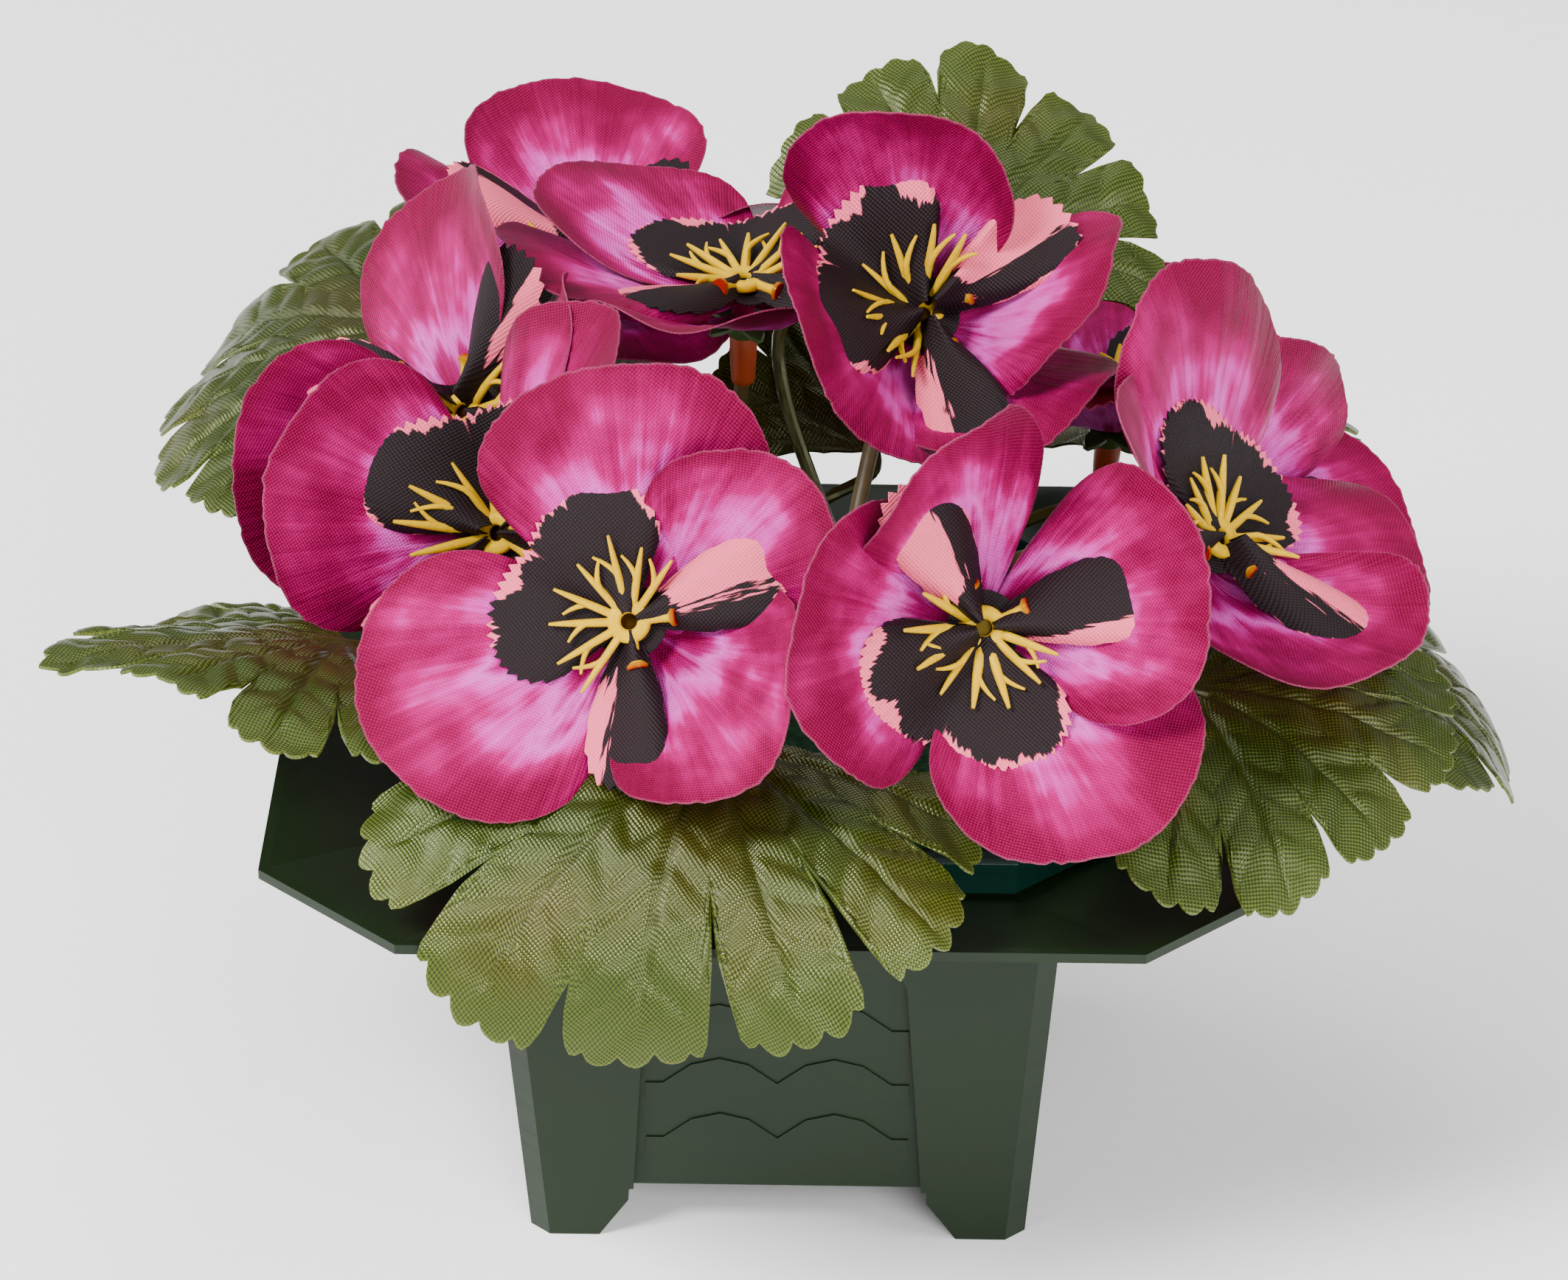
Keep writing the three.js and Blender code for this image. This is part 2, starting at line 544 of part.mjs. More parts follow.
// Each bloom: hub place, the way it faces (azimuth from the front towards +X, elevation), the turn
// of its fan lobe, the hole its stem stands in, and its petals. A petal's numbers are turn, lift,
// roll, length, width, bend and cup: degrees for the turns and millimetres for the rest.
const BLOOMS = [
  { name: "pansy_1", hub: [-19, -43.5, 102], azimuth: -7, elevation: 30, fan: 148,
    hole: [-9, -10], via: [[-13, -19, 82]],
    petals: [[94, 28, -3, 37, 39.5, 5, 3], [209, 14, -3, 38, 38.5, 9, 1],
      [26, 29, -18, 36, 36, 10, 2], [-37, 39, 0, 36, 34, 12, 3]] },
  { name: "pansy_2", hub: [27.5, -51, 106], azimuth: 6, elevation: 25, fan: 246,
    hole: [9, -14], via: [[16, -27, 84]],
    petals: [[184, 43, 3, 37, 38, 18, 2], [301, 27, 15, 37, 38, 12, 1],
      [13, 34, 16, 36, 35, 11, 2], [102, 42, -22, 36, 31, 14, 1]] },
  { name: "pansy_3", hub: [18.5, 12.5, 121], azimuth: 11, elevation: 36, fan: 153,
    hole: [7, 6], via: [[10, 14, 90]],
    petals: [[100, 44, 32, 36.5, 33, 8, 3.5], [211, 60, 2, 37, 40, 6, 2],
      [0, 49, 32, 36, 30, 11, 3], [-60, 47, 18, 36, 36, 10, 4]] },
  { name: "pansy_4", hub: [57.5, -20, 102.5], azimuth: 54, elevation: 38, fan: 45,
    hole: [16, -4], via: [[33, -8, 81]],
    petals: [[66, 19, -17, 38.5, 39, 10, 1], [-17, 2, 40, 37, 40, 5, 0],
      [153, 38, 0, 36, 38, 10, 3], [268, 44, -1, 36, 36, 12, 2.5]] },
  { name: "pansy_5", hub: [-37.5, -16.5, 101.5], azimuth: -21, elevation: 27, fan: 116,
    hole: [-15, -7], via: [[-22, 1, 82]],
    petals: [[173, 43, -8, 36.5, 38, 12, 3], [70, 14, 40, 34, 38, -4, 8],
      [275, 4, 0, 32, 34, 8, 2], [-32, 30, 0, 29, 34, 8, 2]] },
  { name: "pansy_6", hub: [-44, 12.5, 104.5], azimuth: -29, elevation: 44, fan: 310,
    hole: [-20, 6], via: [[-24, 11, 80]],
    petals: [[119, 11, 38, 36, 38.5, 0, 5], [229, 26, 50, 36.5, 38.5, 12, 3],
      [17, 41, 0, 34, 34, 8, 2], [-39, 23, 0, 24, 34, 8, 2]] },
  { name: "pansy_7", hub: [-30, 66.5, 104], azimuth: 2, elevation: 68, fan: 282,
    hole: [-9, 12], via: [[-16, 48, 78]],
    petals: [[93, 4, 0, 35.5, 36, 0, 3.5], [200, 38, 2, 36, 37.5, 12, 4],
      [-3, 29, 38, 35, 35, 9, 3], [-68, 22, 0, 30.5, 34, 8, 2]] },
  { name: "pansy_8", hub: [-6.5, 30.5, 115], azimuth: 6, elevation: 84, fan: 95,
    hole: [-5, 9], via: [[1, 19, 83]],
    petals: [[133, 13, -9, 35, 38, 5, 3], [182, 20, -19, 36.5, 38.5, 4, 2.4],
      [14, 38, 0, 36.5, 36, 9, 3], [246, 29, -10, 36, 35, 8, 2.4]] },
  { name: "pansy_9", hub: [63, 22, 87.5], azimuth: 62, elevation: 20, fan: 205,
    hole: [25, 9], via: [[38, 17, 80]],
    petals: [[118, 18, 0, 31, 35, 8, 2.3], [-30, 14, 14, 34, 36, 6, 1.2],
      [40, 30, 0, 27, 32, 8, 2], [217, 24, 0, 29.5, 33, 8, 2]] },
  { name: "pansy_10", hub: [46.5, 46.5, 90.5], azimuth: 19, elevation: 78, fan: 0,
    hole: [11, 17], via: [[32, 31, 74]],
    petals: [[52, 8, 10, 31, 34, 6, 2], [153, 14, -9, 33, 34, 7, 2.3],
      [250, 52, 10, 33, 33, 8, 2], [-16, 23, 0, 28.5, 33, 8, 2]] },
];

const LEAVES = [
  { name: "leaf_1", base: [-9, -48, 86], azimuth: -12, bank: -3, pitch: 2, droop: 91, fold: 5.5,
    size: 51, spread: 100, reach: [0.8, 0.95, 1, 1, 0.95, 0.9, 0.75], wave: 1.5, phase: 0,
    hole: [-6, -25], via: [[-8, -36, 79]] },
  { name: "leaf_2", base: [55.5, -32, 87], azimuth: 52, bank: 7, pitch: 2, droop: 54, fold: 4.5,
    size: 38.5, spread: 100, reach: [0.9, 1, 1, 0.95, 1, 1, 0.9], wave: 1.5, phase: 1,
    hole: [17, -20], via: [[34, -26, 79]] },
  { name: "leaf_3", base: [78, 11.5, 67.5], azimuth: 95, bank: -1, pitch: 4, droop: 76, fold: 1.5,
    size: 33, spread: 95, reach: [0.8, 0.95, 1, 1, 1, 0.9, 0.8], wave: 1, phase: 2,
    hole: [31, -4], via: [[60, 1, 73]] },
  { name: "leaf_4", base: [-60, -18.5, 85.5], azimuth: -66, bank: 11, pitch: 12, droop: 13, fold: 8.5,
    size: 43.5, spread: 95, reach: [0.75, 0.8, 0.8, 1, 0.8, 0.85, 0.9], wave: 1.5, phase: 1,
    hole: [-28, -10], via: [[-45, -13, 78]] },
  { name: "leaf_5", base: [-55.5, 45.5, 103], azimuth: -98, bank: -8, pitch: -7, droop: 40, fold: 3.5,
    size: 42.5, spread: 100, reach: [1, 1, 1, 1, 1, 1, 1], wave: 1.5, phase: 0,
    hole: [-23, 14], via: [[-50, 22, 88]] },
  { name: "leaf_6", base: [24.5, 44.5, 118], azimuth: 178, bank: 7, pitch: 30, droop: 0, fold: 7.5,
    size: 34, spread: 100, reach: [0.9, 0.9, 1, 1, 1, 0.95, 0.9], wave: 1.2, phase: 0,
    hole: [9, 23], via: [[-1, 40, 108]] },
  { name: "leaf_7", base: [11.5, 44.5, 85], azimuth: 190, bank: -2, pitch: 41, droop: 17, fold: -0.5,
    size: 28, spread: 90, reach: [0.9, 0.95, 1, 1, 1, 0.95, 0.9], wave: 1, phase: 1,
    hole: [-1, 24], via: [[3, 37, 79]] },
  { name: "leaf_8", base: [-32.5, 41.5, 86.5], azimuth: 215, bank: 1, pitch: 22, droop: 41, fold: 2,
    size: 34, spread: 90, reach: [0.9, 0.95, 1, 1, 1, 0.95, 0.9], wave: 1, phase: 2,
    hole: [-13, 25], via: [[-16, 33, 78]] },
  { name: "leaf_9", base: [54, 50.5, 80.5], azimuth: 140, bank: -2, pitch: 29, droop: 50, fold: 7.5,
    size: 31.5, spread: 90, reach: [0.9, 0.95, 1, 1, 1, 0.95, 0.9], wave: 1, phase: 0,
    hole: [18, 25], via: [[34, 40, 76]] },
];

// Colours of the finished pieces

const FINISH = {
  planter: { color: 0x2f3f30, roughness: 0.55 },
  insert: { color: 0x24493c, roughness: 0.4 },
  foam: { color: 0x1f5a34, roughness: 0.95 },
  petals: { color: 0xc23a86, roughness: 0.7 },
  face: { color: 0x3a2a30, roughness: 0.8 },
  stamens: { color: 0xe8c52a, roughness: 0.4 },
  stalk: { color: 0x3d4a20, roughness: 0.5 },
  leaf: { color: 0x5c7a30, roughness: 0.6 },
};

const planter = new THREE.Group();
planter.position.set(MIDDLE.x, MIDDLE.y, 0);

function addPiece(name, manifold, finish) {
  const material = new THREE.MeshStandardMaterial({ metalness: 0, ...FINISH[finish] });
  const mesh = new THREE.Mesh(geometryOf(manifold), material);
  mesh.name = name;
  planter.add(mesh);
}

addPiece("planter_body", makePlanter(), "planter");
addPiece("insert_ring", makeInsert(), "insert");
const holes = [...BLOOMS.map((b) => ({ x: b.hole[0], y: b.hole[1], radius: STEM.radius })),
  ...LEAVES.map((l) => ({ x: l.hole[0], y: l.hole[1], radius: LEAF.petiole }))];
addPiece("foam_block", makeFoam(holes), "foam");
for (const bloom of BLOOMS) {
  const frame = bloomFrame(bloom);
  addPiece(`${bloom.name}_petals`, makePetals(bloom, frame), "petals");
  addPiece(`${bloom.name}_face`, makeFace(bloom, frame), "face");
  addPiece(`${bloom.name}_stamens`, makeStamens(bloom, frame), "stamens");
  addPiece(`${bloom.name}_stalk`, makeStalk(bloom, frame), "stalk");
}
for (const leaf of LEAVES) addPiece(leaf.name, makeLeaf(leaf), "leaf");

export default planter;
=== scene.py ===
# %% [markdown]
# A potted pansy planter: ten fabric pansies and nine fabric leaves pushed into a foam block inside a
# small moulded planter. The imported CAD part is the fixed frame. The planter and the foam keep their
# CAD meshes, the insert takes a copy of its own, and all three get better materials. Cloth and the
# small wax-like mouldings are rebuilt here as fine surfaces, because their softness and print are what
# the eye looks for first.

# %% Load the frame
import math
import bmesh
import bpy
import numpy as np
from mathutils import Matrix


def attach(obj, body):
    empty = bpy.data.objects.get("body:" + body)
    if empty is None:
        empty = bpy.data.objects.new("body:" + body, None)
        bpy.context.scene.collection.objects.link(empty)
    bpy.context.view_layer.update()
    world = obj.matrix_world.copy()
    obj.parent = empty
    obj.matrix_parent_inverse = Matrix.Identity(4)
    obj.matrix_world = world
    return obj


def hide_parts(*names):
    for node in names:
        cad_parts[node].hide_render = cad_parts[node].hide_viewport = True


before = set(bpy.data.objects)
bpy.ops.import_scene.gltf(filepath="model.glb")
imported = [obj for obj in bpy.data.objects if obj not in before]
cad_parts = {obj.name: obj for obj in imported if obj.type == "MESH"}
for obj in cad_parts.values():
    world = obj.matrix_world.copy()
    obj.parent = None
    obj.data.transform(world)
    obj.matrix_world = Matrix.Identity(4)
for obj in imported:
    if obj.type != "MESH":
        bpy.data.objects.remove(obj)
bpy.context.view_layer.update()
print("CAD nodes:", len(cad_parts))

# %% [markdown]
# Every length below is in millimetres and every place is measured from the planter's own middle, as
# in the part's source. One value turns millimetres to metres and one moves the middle to its place in
# the frame, so no object is ever moved: each mesh holds its place itself.

# %% Units and seeded draws
MM = 0.001
MIDDLE = np.array([-1.0, -7.0, 0.0])
draw = np.random.default_rng(2911)


def unit(v):
    """Each vector divided by its own length."""
    v = np.asarray(v, float)
    return v / np.linalg.norm(v, axis=-1, keepdims=True)


def in_scene(name, data):
    """An object for that data, put in the scene and left at the origin."""
    made = bpy.data.objects.new(name, data)
    bpy.context.scene.collection.objects.link(made)
    return made


# %% [markdown]
# Cloth is a sheet with a real thickness. A grid of points gives its middle surface, each point is
# pushed half the thickness along the surface's own normal to either side, and a narrow wall closes
# every edge. Solidify could do the same, but here the wall and both faces keep the grid's own values,
# which the print and the weave are drawn from.

# %% A closed sheet from a grid
def slope_along(grid, axis, round_way):
    """Central difference along one way of the grid, joined up where that way runs full circle."""
    if round_way and axis == 1:
        return np.roll(grid, -1, 1) - np.roll(grid, 1, 1)
    return np.gradient(grid, axis=axis)


def sheet_shell(grid, thickness, round_way=False):
    """Middle surface plus and minus half the thickness along the cross product of its two slopes,
    with walls on the open edges. Returns points and four-sided faces that look outwards."""
    rows, columns = grid.shape[:2]
    normal = unit(np.cross(slope_along(grid, 0, round_way), slope_along(grid, 1, round_way)) + 1e-12)
    top = (grid + normal * thickness / 2).reshape(-1, 3)
    low = (grid - normal * thickness / 2).reshape(-1, 3)
    T = np.arange(rows * columns).reshape(rows, columns)
    if round_way:
        T = np.concatenate([T, T[:, :1]], 1)
    B = T + rows * columns
    quad = lambda a, b, c, d: np.stack([a, b, c, d], -1).reshape(-1, 4)
    faces = [quad(T[:-1, :-1], T[1:, :-1], T[1:, 1:], T[:-1, 1:]),
             quad(B[:-1, :-1], B[:-1, 1:], B[1:, 1:], B[1:, :-1]),
             quad(T[0, :-1], T[0, 1:], B[0, 1:], B[0, :-1]),
             quad(T[-1, 1:], T[-1, :-1], B[-1, :-1], B[-1, 1:])]
    if not round_way:
        faces += [quad(T[1:, 0], T[:-1, 0], B[:-1, 0], B[1:, 0]),
                  quad(T[:-1, -1], T[1:, -1], B[1:, -1], B[:-1, -1])]
    return np.concatenate([top, low]), [np.concatenate(faces)]


# %% [markdown]
# Stems, prongs and the calyx are one idea: a circle carried along a path while its radius changes. A
# Blender curve with a bevel could do it, but a worked-out tube lets the radius follow any list of
# values, and the flat caps at its two ends keep it closed.

# %% A closed tube along a path
NEARLY_STRAIGHT = 0.05


def smooth_path(points, steps):
    """A curve through the points: each stretch is a cubic whose slopes at its ends come from the
    neighbouring points, weighted by the square root of their distances."""
    p = np.asarray(points, float)
    p = np.vstack([2 * p[0] - p[1], p, 2 * p[-1] - p[-2]])
    d = np.sqrt(np.linalg.norm(np.diff(p, axis=0), axis=1))[:, None]
    a, b, c, e = p[:-3], p[1:-2], p[2:-1], p[3:]
    d0, d1, d2 = d[:-2], d[1:-1], d[2:]
    start = ((b - a) / d0 - (c - a) / (d0 + d1) + (c - b) / d1) * d1
    end = ((c - b) / d1 - (e - b) / (d1 + d2) + (e - c) / d2) * d1
    s = np.linspace(0, 1, steps, endpoint=False)[None, :, None]
    b, c, start, end = b[:, None], c[:, None], start[:, None], end[:, None]
    curve = (b * (2 * s**3 - 3 * s**2 + 1) + start * (s**3 - 2 * s**2 + s)
             + c * (3 * s**2 - 2 * s**3) + end * (s**3 - s**2))
    return np.vstack([curve.reshape(-1, 3), p[-2]])


def tube_shell(path, radius, sides, flat=1.0):
    """Path point plus radius times (cosine of the angle along one side way, sine along the other),
    where flat squeezes the second way. Returns points and faces with a cap at each end."""
    path = np.asarray(path, float)
    radius = np.broadcast_to(np.asarray(radius, float), (len(path),))
    along = unit(np.gradient(path, axis=0))
    still = np.cross(along[0], along[-1])
    if np.linalg.norm(still) < NEARLY_STRAIGHT:
        still = np.eye(3)[np.argmin(np.abs(along[0]))]
    one = unit(still - along * (along @ still)[:, None])
    two = np.cross(along, one)
    turn = np.linspace(0, 2 * np.pi, sides, endpoint=False)[None, :, None]
    ring = path[:, None] + radius[:, None, None] * (
        np.cos(turn) * one[:, None] + flat * np.sin(turn) * two[:, None])
    I = np.arange(len(path) * sides).reshape(len(path), sides)
    J = np.concatenate([I, I[:, :1]], 1)
    faces = np.stack([J[:-1, :-1], J[:-1, 1:], J[1:, 1:], J[1:, :-1]], -1).reshape(-1, 4)
    return ring.reshape(-1, 3), [faces, I[:1, ::-1], I[-1:]]


# %% [markdown]
# A piece is often several closed shells in one mesh, such as four petals on one hub. Each shell brings
# its own values for its points, for example how far out on the petal a point lies. The builder below
# joins the shells, writes those values as point attributes that the materials read, writes a UV map in
# millimetres for the weave, and hands the finished object to the frame.

# %% Build one piece from shells
def cloth_shell(grid, thickness, values, round_way=False):
    """A closed sheet whose upper and lower points both carry the values of their place on the grid."""
    both = {key: np.tile(np.broadcast_to(v, grid.shape[:2]).ravel(), 2) for key, v in values.items()}
    return (*sheet_shell(grid, thickness, round_way), both)


def smooth_but_sharp(mesh, angle):
    """Smooth shading, with the edges that turn by more than the angle left sharp."""
    mesh.polygons.foreach_set("use_smooth", np.ones(len(mesh.polygons), bool))
    mesh.set_sharp_from_angle(angle=math.radians(angle))


def make_piece(name, shells, stands_for, material, sharp=35):
    """Joins (points, faces, values) shells into one mesh at the origin. Values is a dictionary of
    arrays with one number a point; across and along are also written as a UV map."""
    keys = sorted(set(key for shell in shells for key in shell[2]))
    points = np.concatenate([shell[0] for shell in shells])
    faces = []
    start = 0
    for shell in shells:
        faces += [block + start for block in shell[1]]
        start += len(shell[0])
    corners = np.concatenate([block.reshape(-1) for block in faces]).astype(np.int32)
    sizes = np.concatenate([np.full(len(block), block.shape[1]) for block in faces])
    mesh = bpy.data.meshes.new(name)
    mesh.vertices.add(len(points))
    mesh.vertices.foreach_set("co", ((points + MIDDLE) * MM).astype(np.float32).reshape(-1))
    mesh.loops.add(len(corners))
    mesh.loops.foreach_set("vertex_index", corners)
    mesh.polygons.add(len(sizes))
    starts = np.concatenate([[0], np.cumsum(sizes)[:-1]]).astype(np.int32)
    mesh.polygons.foreach_set("loop_start", starts)
    mesh.update(calc_edges=True)
    table = {}
    for key in keys:
        table[key] = np.concatenate([np.broadcast_to(shell[2].get(key, 0.0), (len(shell[0]),))
                                     for shell in shells])
        layer = mesh.attributes.new(key, "FLOAT", "POINT")
        layer.data.foreach_set("value", table[key].astype(np.float32))
    if "across" in table:
        place = np.stack([table["across"], table["along"]], -1)[corners]
        mesh.uv_layers.new(name="cloth").data.foreach_set("uv", place.astype(np.float32).reshape(-1))
    smooth_but_sharp(mesh, sharp)
    mesh.materials.append(material)
    piece = in_scene(name, mesh)
    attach(piece, "root")
    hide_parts(stands_for)
    return piece


# %% [markdown]
# A material is a small tree of nodes. Colours are written as the hex values a picture shows, and one
# function turns them to the linear numbers that light works in. Another adds a node with its links
# and ramp stops, and the short ones after it make what most materials need.

# %% Colour and node helpers
def linear(hex_colour):
    """Each channel c becomes ((c + 0.055) / 1.055) to the power 2.4, or c / 12.92 when dark."""
    c = np.array([int(hex_colour[i:i + 2], 16) / 255 for i in (1, 3, 5)])
    c = np.where(c <= 0.04045, c / 12.92, ((c + 0.055) / 1.055) ** 2.4)
    return (*c, 1.0)


def add(tree, kind, links=None, stops=None, **settings):
    """A node of that kind with its settings, and for each socket a link, a number or a hex colour."""
    made = tree.nodes.new("ShaderNode" + kind)
    for key, value in settings.items():
        setattr(made, key, value)
    for key, value in (links or {}).items():
        socket = made.inputs[key]
        if isinstance(value, bpy.types.NodeSocket):
            tree.links.new(value, socket)
        else:
            socket.default_value = linear(value) if isinstance(value, str) else value
    if stops:
        while len(made.color_ramp.elements) < len(stops):
            made.color_ramp.elements.new(0.5)
        for element, (place, colour) in zip(made.color_ramp.elements, stops):
            element.position = place
            element.color = linear(colour)
    return made


def new_material(name, finish):
    """A material with its tree and its shader, whose own sockets take the numbers of the finish."""
    material = bpy.data.materials.new(name)
    material.use_nodes = True
    tree = material.node_tree
    tree.nodes.clear()
    shader = add(tree, "BsdfPrincipled", finish)
    add(tree, "OutputMaterial", {"Surface": shader.outputs[0]})
    return material, tree, shader


def value(tree, name):
    return add(tree, "Attribute", attribute_name=name, attribute_type="GEOMETRY").outputs["Fac"]


def math_of(tree, operation, *terms, clamp=False):
    return add(tree, "Math", dict(enumerate(terms)), operation=operation, use_clamp=clamp).outputs[0]


def mix_colour(tree, factor, first, second):
    """Colour sockets of a Mix node are numbers 6 and 7, and its colour comes out of number 2."""
    return add(tree, "Mix", {0: factor, 6: first, 7: second}, data_type="RGBA").outputs[2]


def own_place(tree):
    """The point's place in the object's own axes, in metres."""
    return add(tree, "TexCoord").outputs["Object"]


def noise(tree, place, scale, detail, **settings):
    return add(tree, "TexNoise", {"Vector": place, "Scale": scale, "Detail": detail, **settings}).outputs[0]


def squeezed(tree, place, scale):
    """The same place with each axis multiplied by its own number."""
    return add(tree, "Mapping", {"Vector": place, "Scale": scale}).outputs[0]


def dress(tree, shader, colour, height, distance, strength):
    """The shader takes the colour, and its normal leans as if the height stood out of the surface by
    the distance in millimetres."""
    tree.links.new(colour, shader.inputs["Base Color"])
    bump = add(tree, "Bump", {"Height": height, "Distance": distance * MM, "Strength": strength})
    tree.links.new(bump.outputs[0], shader.inputs["Normal"])


# %% [markdown]
# The camera comes early, so that every piece can be looked at as it is made. Its lens and place were
# worked out from the corners of the brim and the feet in the photograph: a long lens, a little above
# the pot and a little to its right.

# %% Camera
LENS = 166.9
CAMERA_AT = np.array([22.7, -914.4, 550.5])
LOOK_AT = np.array([-0.957, -7.0, 76.988])

camera_data = bpy.data.cameras.new("view_from_front")
camera_data.lens = LENS
camera_data.sensor_width = 36.0
camera = in_scene("view_from_front", camera_data)


def facing_from(place, aim):
    """A turn and a place: the object's own Z axis points back from the aim, its X axis is level."""
    back = unit(np.subtract(place, aim))
    right = unit(np.cross([0, 0, 1], back))
    turned = Matrix(np.stack([right, np.cross(back, right), back], 1).tolist()).to_4x4()
    turned.translation = np.asarray(place, float) * MM
    return turned


camera.matrix_world = facing_from(CAMERA_AT, LOOK_AT)
bpy.context.scene.camera = camera
print("camera at", CAMERA_AT, "looks at", LOOK_AT)

# %% [markdown]
# The pansies and leaves are arranged by two tables, the same ones that the CAD solids were made from.
# A pansy has the place of its hub, the way it faces, the turn of its wide fan lobe, the hole in the
# foam for its stem, a point that the stem passes, and four petals, each with its turn, lift, roll,
# length, width, bend and cup. A leaf has its base, its angles, its size, half the angle that it
# spreads over, the part of its size that each lobe reaches, and the same two points for its petiole.

# %% Where the pansies and leaves are
def table(columns, rows):
    """One dictionary a row, with the columns' names as its keys."""
    return [dict(zip(columns.split(), row)) for row in rows]


PANSIES = table("name hub azimuth elevation fan hole via petals", [
    ("pansy_1", [-19, -43.5, 102], -7, 30, 148, [-9, -10], [-13, -19, 82],
     [[94, 28, -3, 37, 39.5, 5, 3], [209, 14, -3, 38, 38.5, 9, 1],
      [26, 29, -18, 36, 36, 10, 2], [-37, 39, 0, 36, 34, 12, 3]]),
    ("pansy_2", [27.5, -51, 106], 6, 25, 246, [9, -14], [16, -27, 84],
     [[184, 43, 3, 37, 38, 18, 2], [301, 27, 15, 37, 38, 12, 1],
      [13, 34, 16, 36, 35, 11, 2], [102, 42, -22, 36, 31, 14, 1]]),
    ("pansy_3", [18.5, 12.5, 121], 11, 36, 153, [7, 6], [10, 14, 90],
     [[100, 44, 32, 36.5, 33, 8, 3.5], [211, 60, 2, 37, 40, 6, 2],
      [0, 49, 32, 36, 30, 11, 3], [-60, 47, 18, 36, 36, 10, 4]]),
    ("pansy_4", [57.5, -20, 102.5], 54, 38, 45, [16, -4], [33, -8, 81],
     [[66, 19, -17, 38.5, 39, 10, 1], [-17, 2, 40, 37, 40, 5, 0],
      [153, 38, 0, 36, 38, 10, 3], [268, 44, -1, 36, 36, 12, 2.5]]),
    ("pansy_5", [-37.5, -16.5, 101.5], -21, 27, 116, [-15, -7], [-22, 1, 82],
     [[173, 43, -8, 36.5, 38, 12, 3], [70, 14, 40, 34, 38, -4, 8],
      [275, 4, 0, 32, 34, 8, 2], [-32, 30, 0, 29, 34, 8, 2]]),
    ("pansy_6", [-44, 12.5, 104.5], -29, 44, 310, [-20, 6], [-24, 11, 80],
     [[119, 11, 38, 36, 38.5, 0, 5], [229, 26, 50, 36.5, 38.5, 12, 3],
      [17, 41, 0, 34, 34, 8, 2], [-39, 23, 0, 24, 34, 8, 2]]),
    ("pansy_7", [-30, 66.5, 104], 2, 68, 282, [-9, 12], [-16, 48, 78],
     [[93, 4, 0, 35.5, 36, 0, 3.5], [200, 38, 2, 36, 37.5, 12, 4],
      [-3, 29, 38, 35, 35, 9, 3], [-68, 22, 0, 30.5, 34, 8, 2]]),
    ("pansy_8", [-6.5, 30.5, 115], 6, 84, 95, [-5, 9], [1, 19, 83],
     [[133, 13, -9, 35, 38, 5, 3], [182, 20, -19, 36.5, 38.5, 4, 2.4],
      [14, 38, 0, 36.5, 36, 9, 3], [246, 29, -10, 36, 35, 8, 2.4]]),
    ("pansy_9", [63, 22, 87.5], 62, 20, 205, [25, 9], [38, 17, 80],
     [[118, 18, 0, 31, 35, 8, 2.3], [-30, 14, 14, 34, 36, 6, 1.2],
      [40, 30, 0, 27, 32, 8, 2], [217, 24, 0, 29.5, 33, 8, 2]]),
    ("pansy_10", [46.5, 46.5, 90.5], 19, 78, 0, [11, 17], [32, 31, 74],
     [[52, 8, 10, 31, 34, 6, 2], [153, 14, -9, 33, 34, 7, 2.3],
      [250, 52, 10, 33, 33, 8, 2], [-16, 23, 0, 28.5, 33, 8, 2]]),
])
LEAVES = table(
    "name base azimuth bank pitch droop fold size spread reach wave phase hole via", [
    ("leaf_1", [-9, -48, 86], -12, -3, 2, 91, 5.5, 51, 100, [0.8, 0.95, 1, 1, 0.95, 0.9, 0.75], 1.5, 0,
     [-6, -25], [-8, -36, 79]),
    ("leaf_2", [55.5, -32, 87], 52, 7, 2, 54, 4.5, 38.5, 100, [0.9, 1, 1, 0.95, 1, 1, 0.9], 1.5, 1,
     [17, -20], [34, -26, 79]),
    ("leaf_3", [78, 11.5, 67.5], 95, -1, 4, 76, 1.5, 33, 95, [0.8, 0.95, 1, 1, 1, 0.9, 0.8], 1, 2,
     [31, -4], [60, 1, 73]),
    ("leaf_4", [-60, -18.5, 85.5], -66, 11, 12, 13, 8.5, 43.5, 95, [0.75, 0.8, 0.8, 1, 0.8, 0.85, 0.9],
     1.5, 1, [-28, -10], [-45, -13, 78]),
    ("leaf_5", [-55.5, 45.5, 103], -98, -8, -7, 40, 3.5, 42.5, 100, [1, 1, 1, 1, 1, 1, 1], 1.5, 0,
     [-23, 14], [-50, 22, 88]),
    ("leaf_6", [24.5, 44.5, 118], 178, 7, 30, 0, 7.5, 34, 100, [0.9, 0.9, 1, 1, 1, 0.95, 0.9], 1.2, 0,
     [9, 23], [-1, 40, 108]),
    ("leaf_7", [11.5, 44.5, 85], 190, -2, 41, 17, -0.5, 28, 90, [0.9, 0.95, 1, 1, 1, 0.95, 0.9], 1, 1,
     [-1, 24], [3, 37, 79]),
    ("leaf_8", [-32.5, 41.5, 86.5], 215, 1, 22, 41, 2, 34, 90, [0.9, 0.95, 1, 1, 1, 0.95, 0.9], 1, 2,
     [-13, 25], [-16, 33, 78]),
    ("leaf_9", [54, 50.5, 80.5], 140, -2, 29, 50, 7.5, 31.5, 90, [0.9, 0.95, 1, 1, 1, 0.95, 0.9], 1, 0,
     [18, 25], [34, 40, 76]),
])
print("pansies", len(PANSIES), "leaves", len(LEAVES))

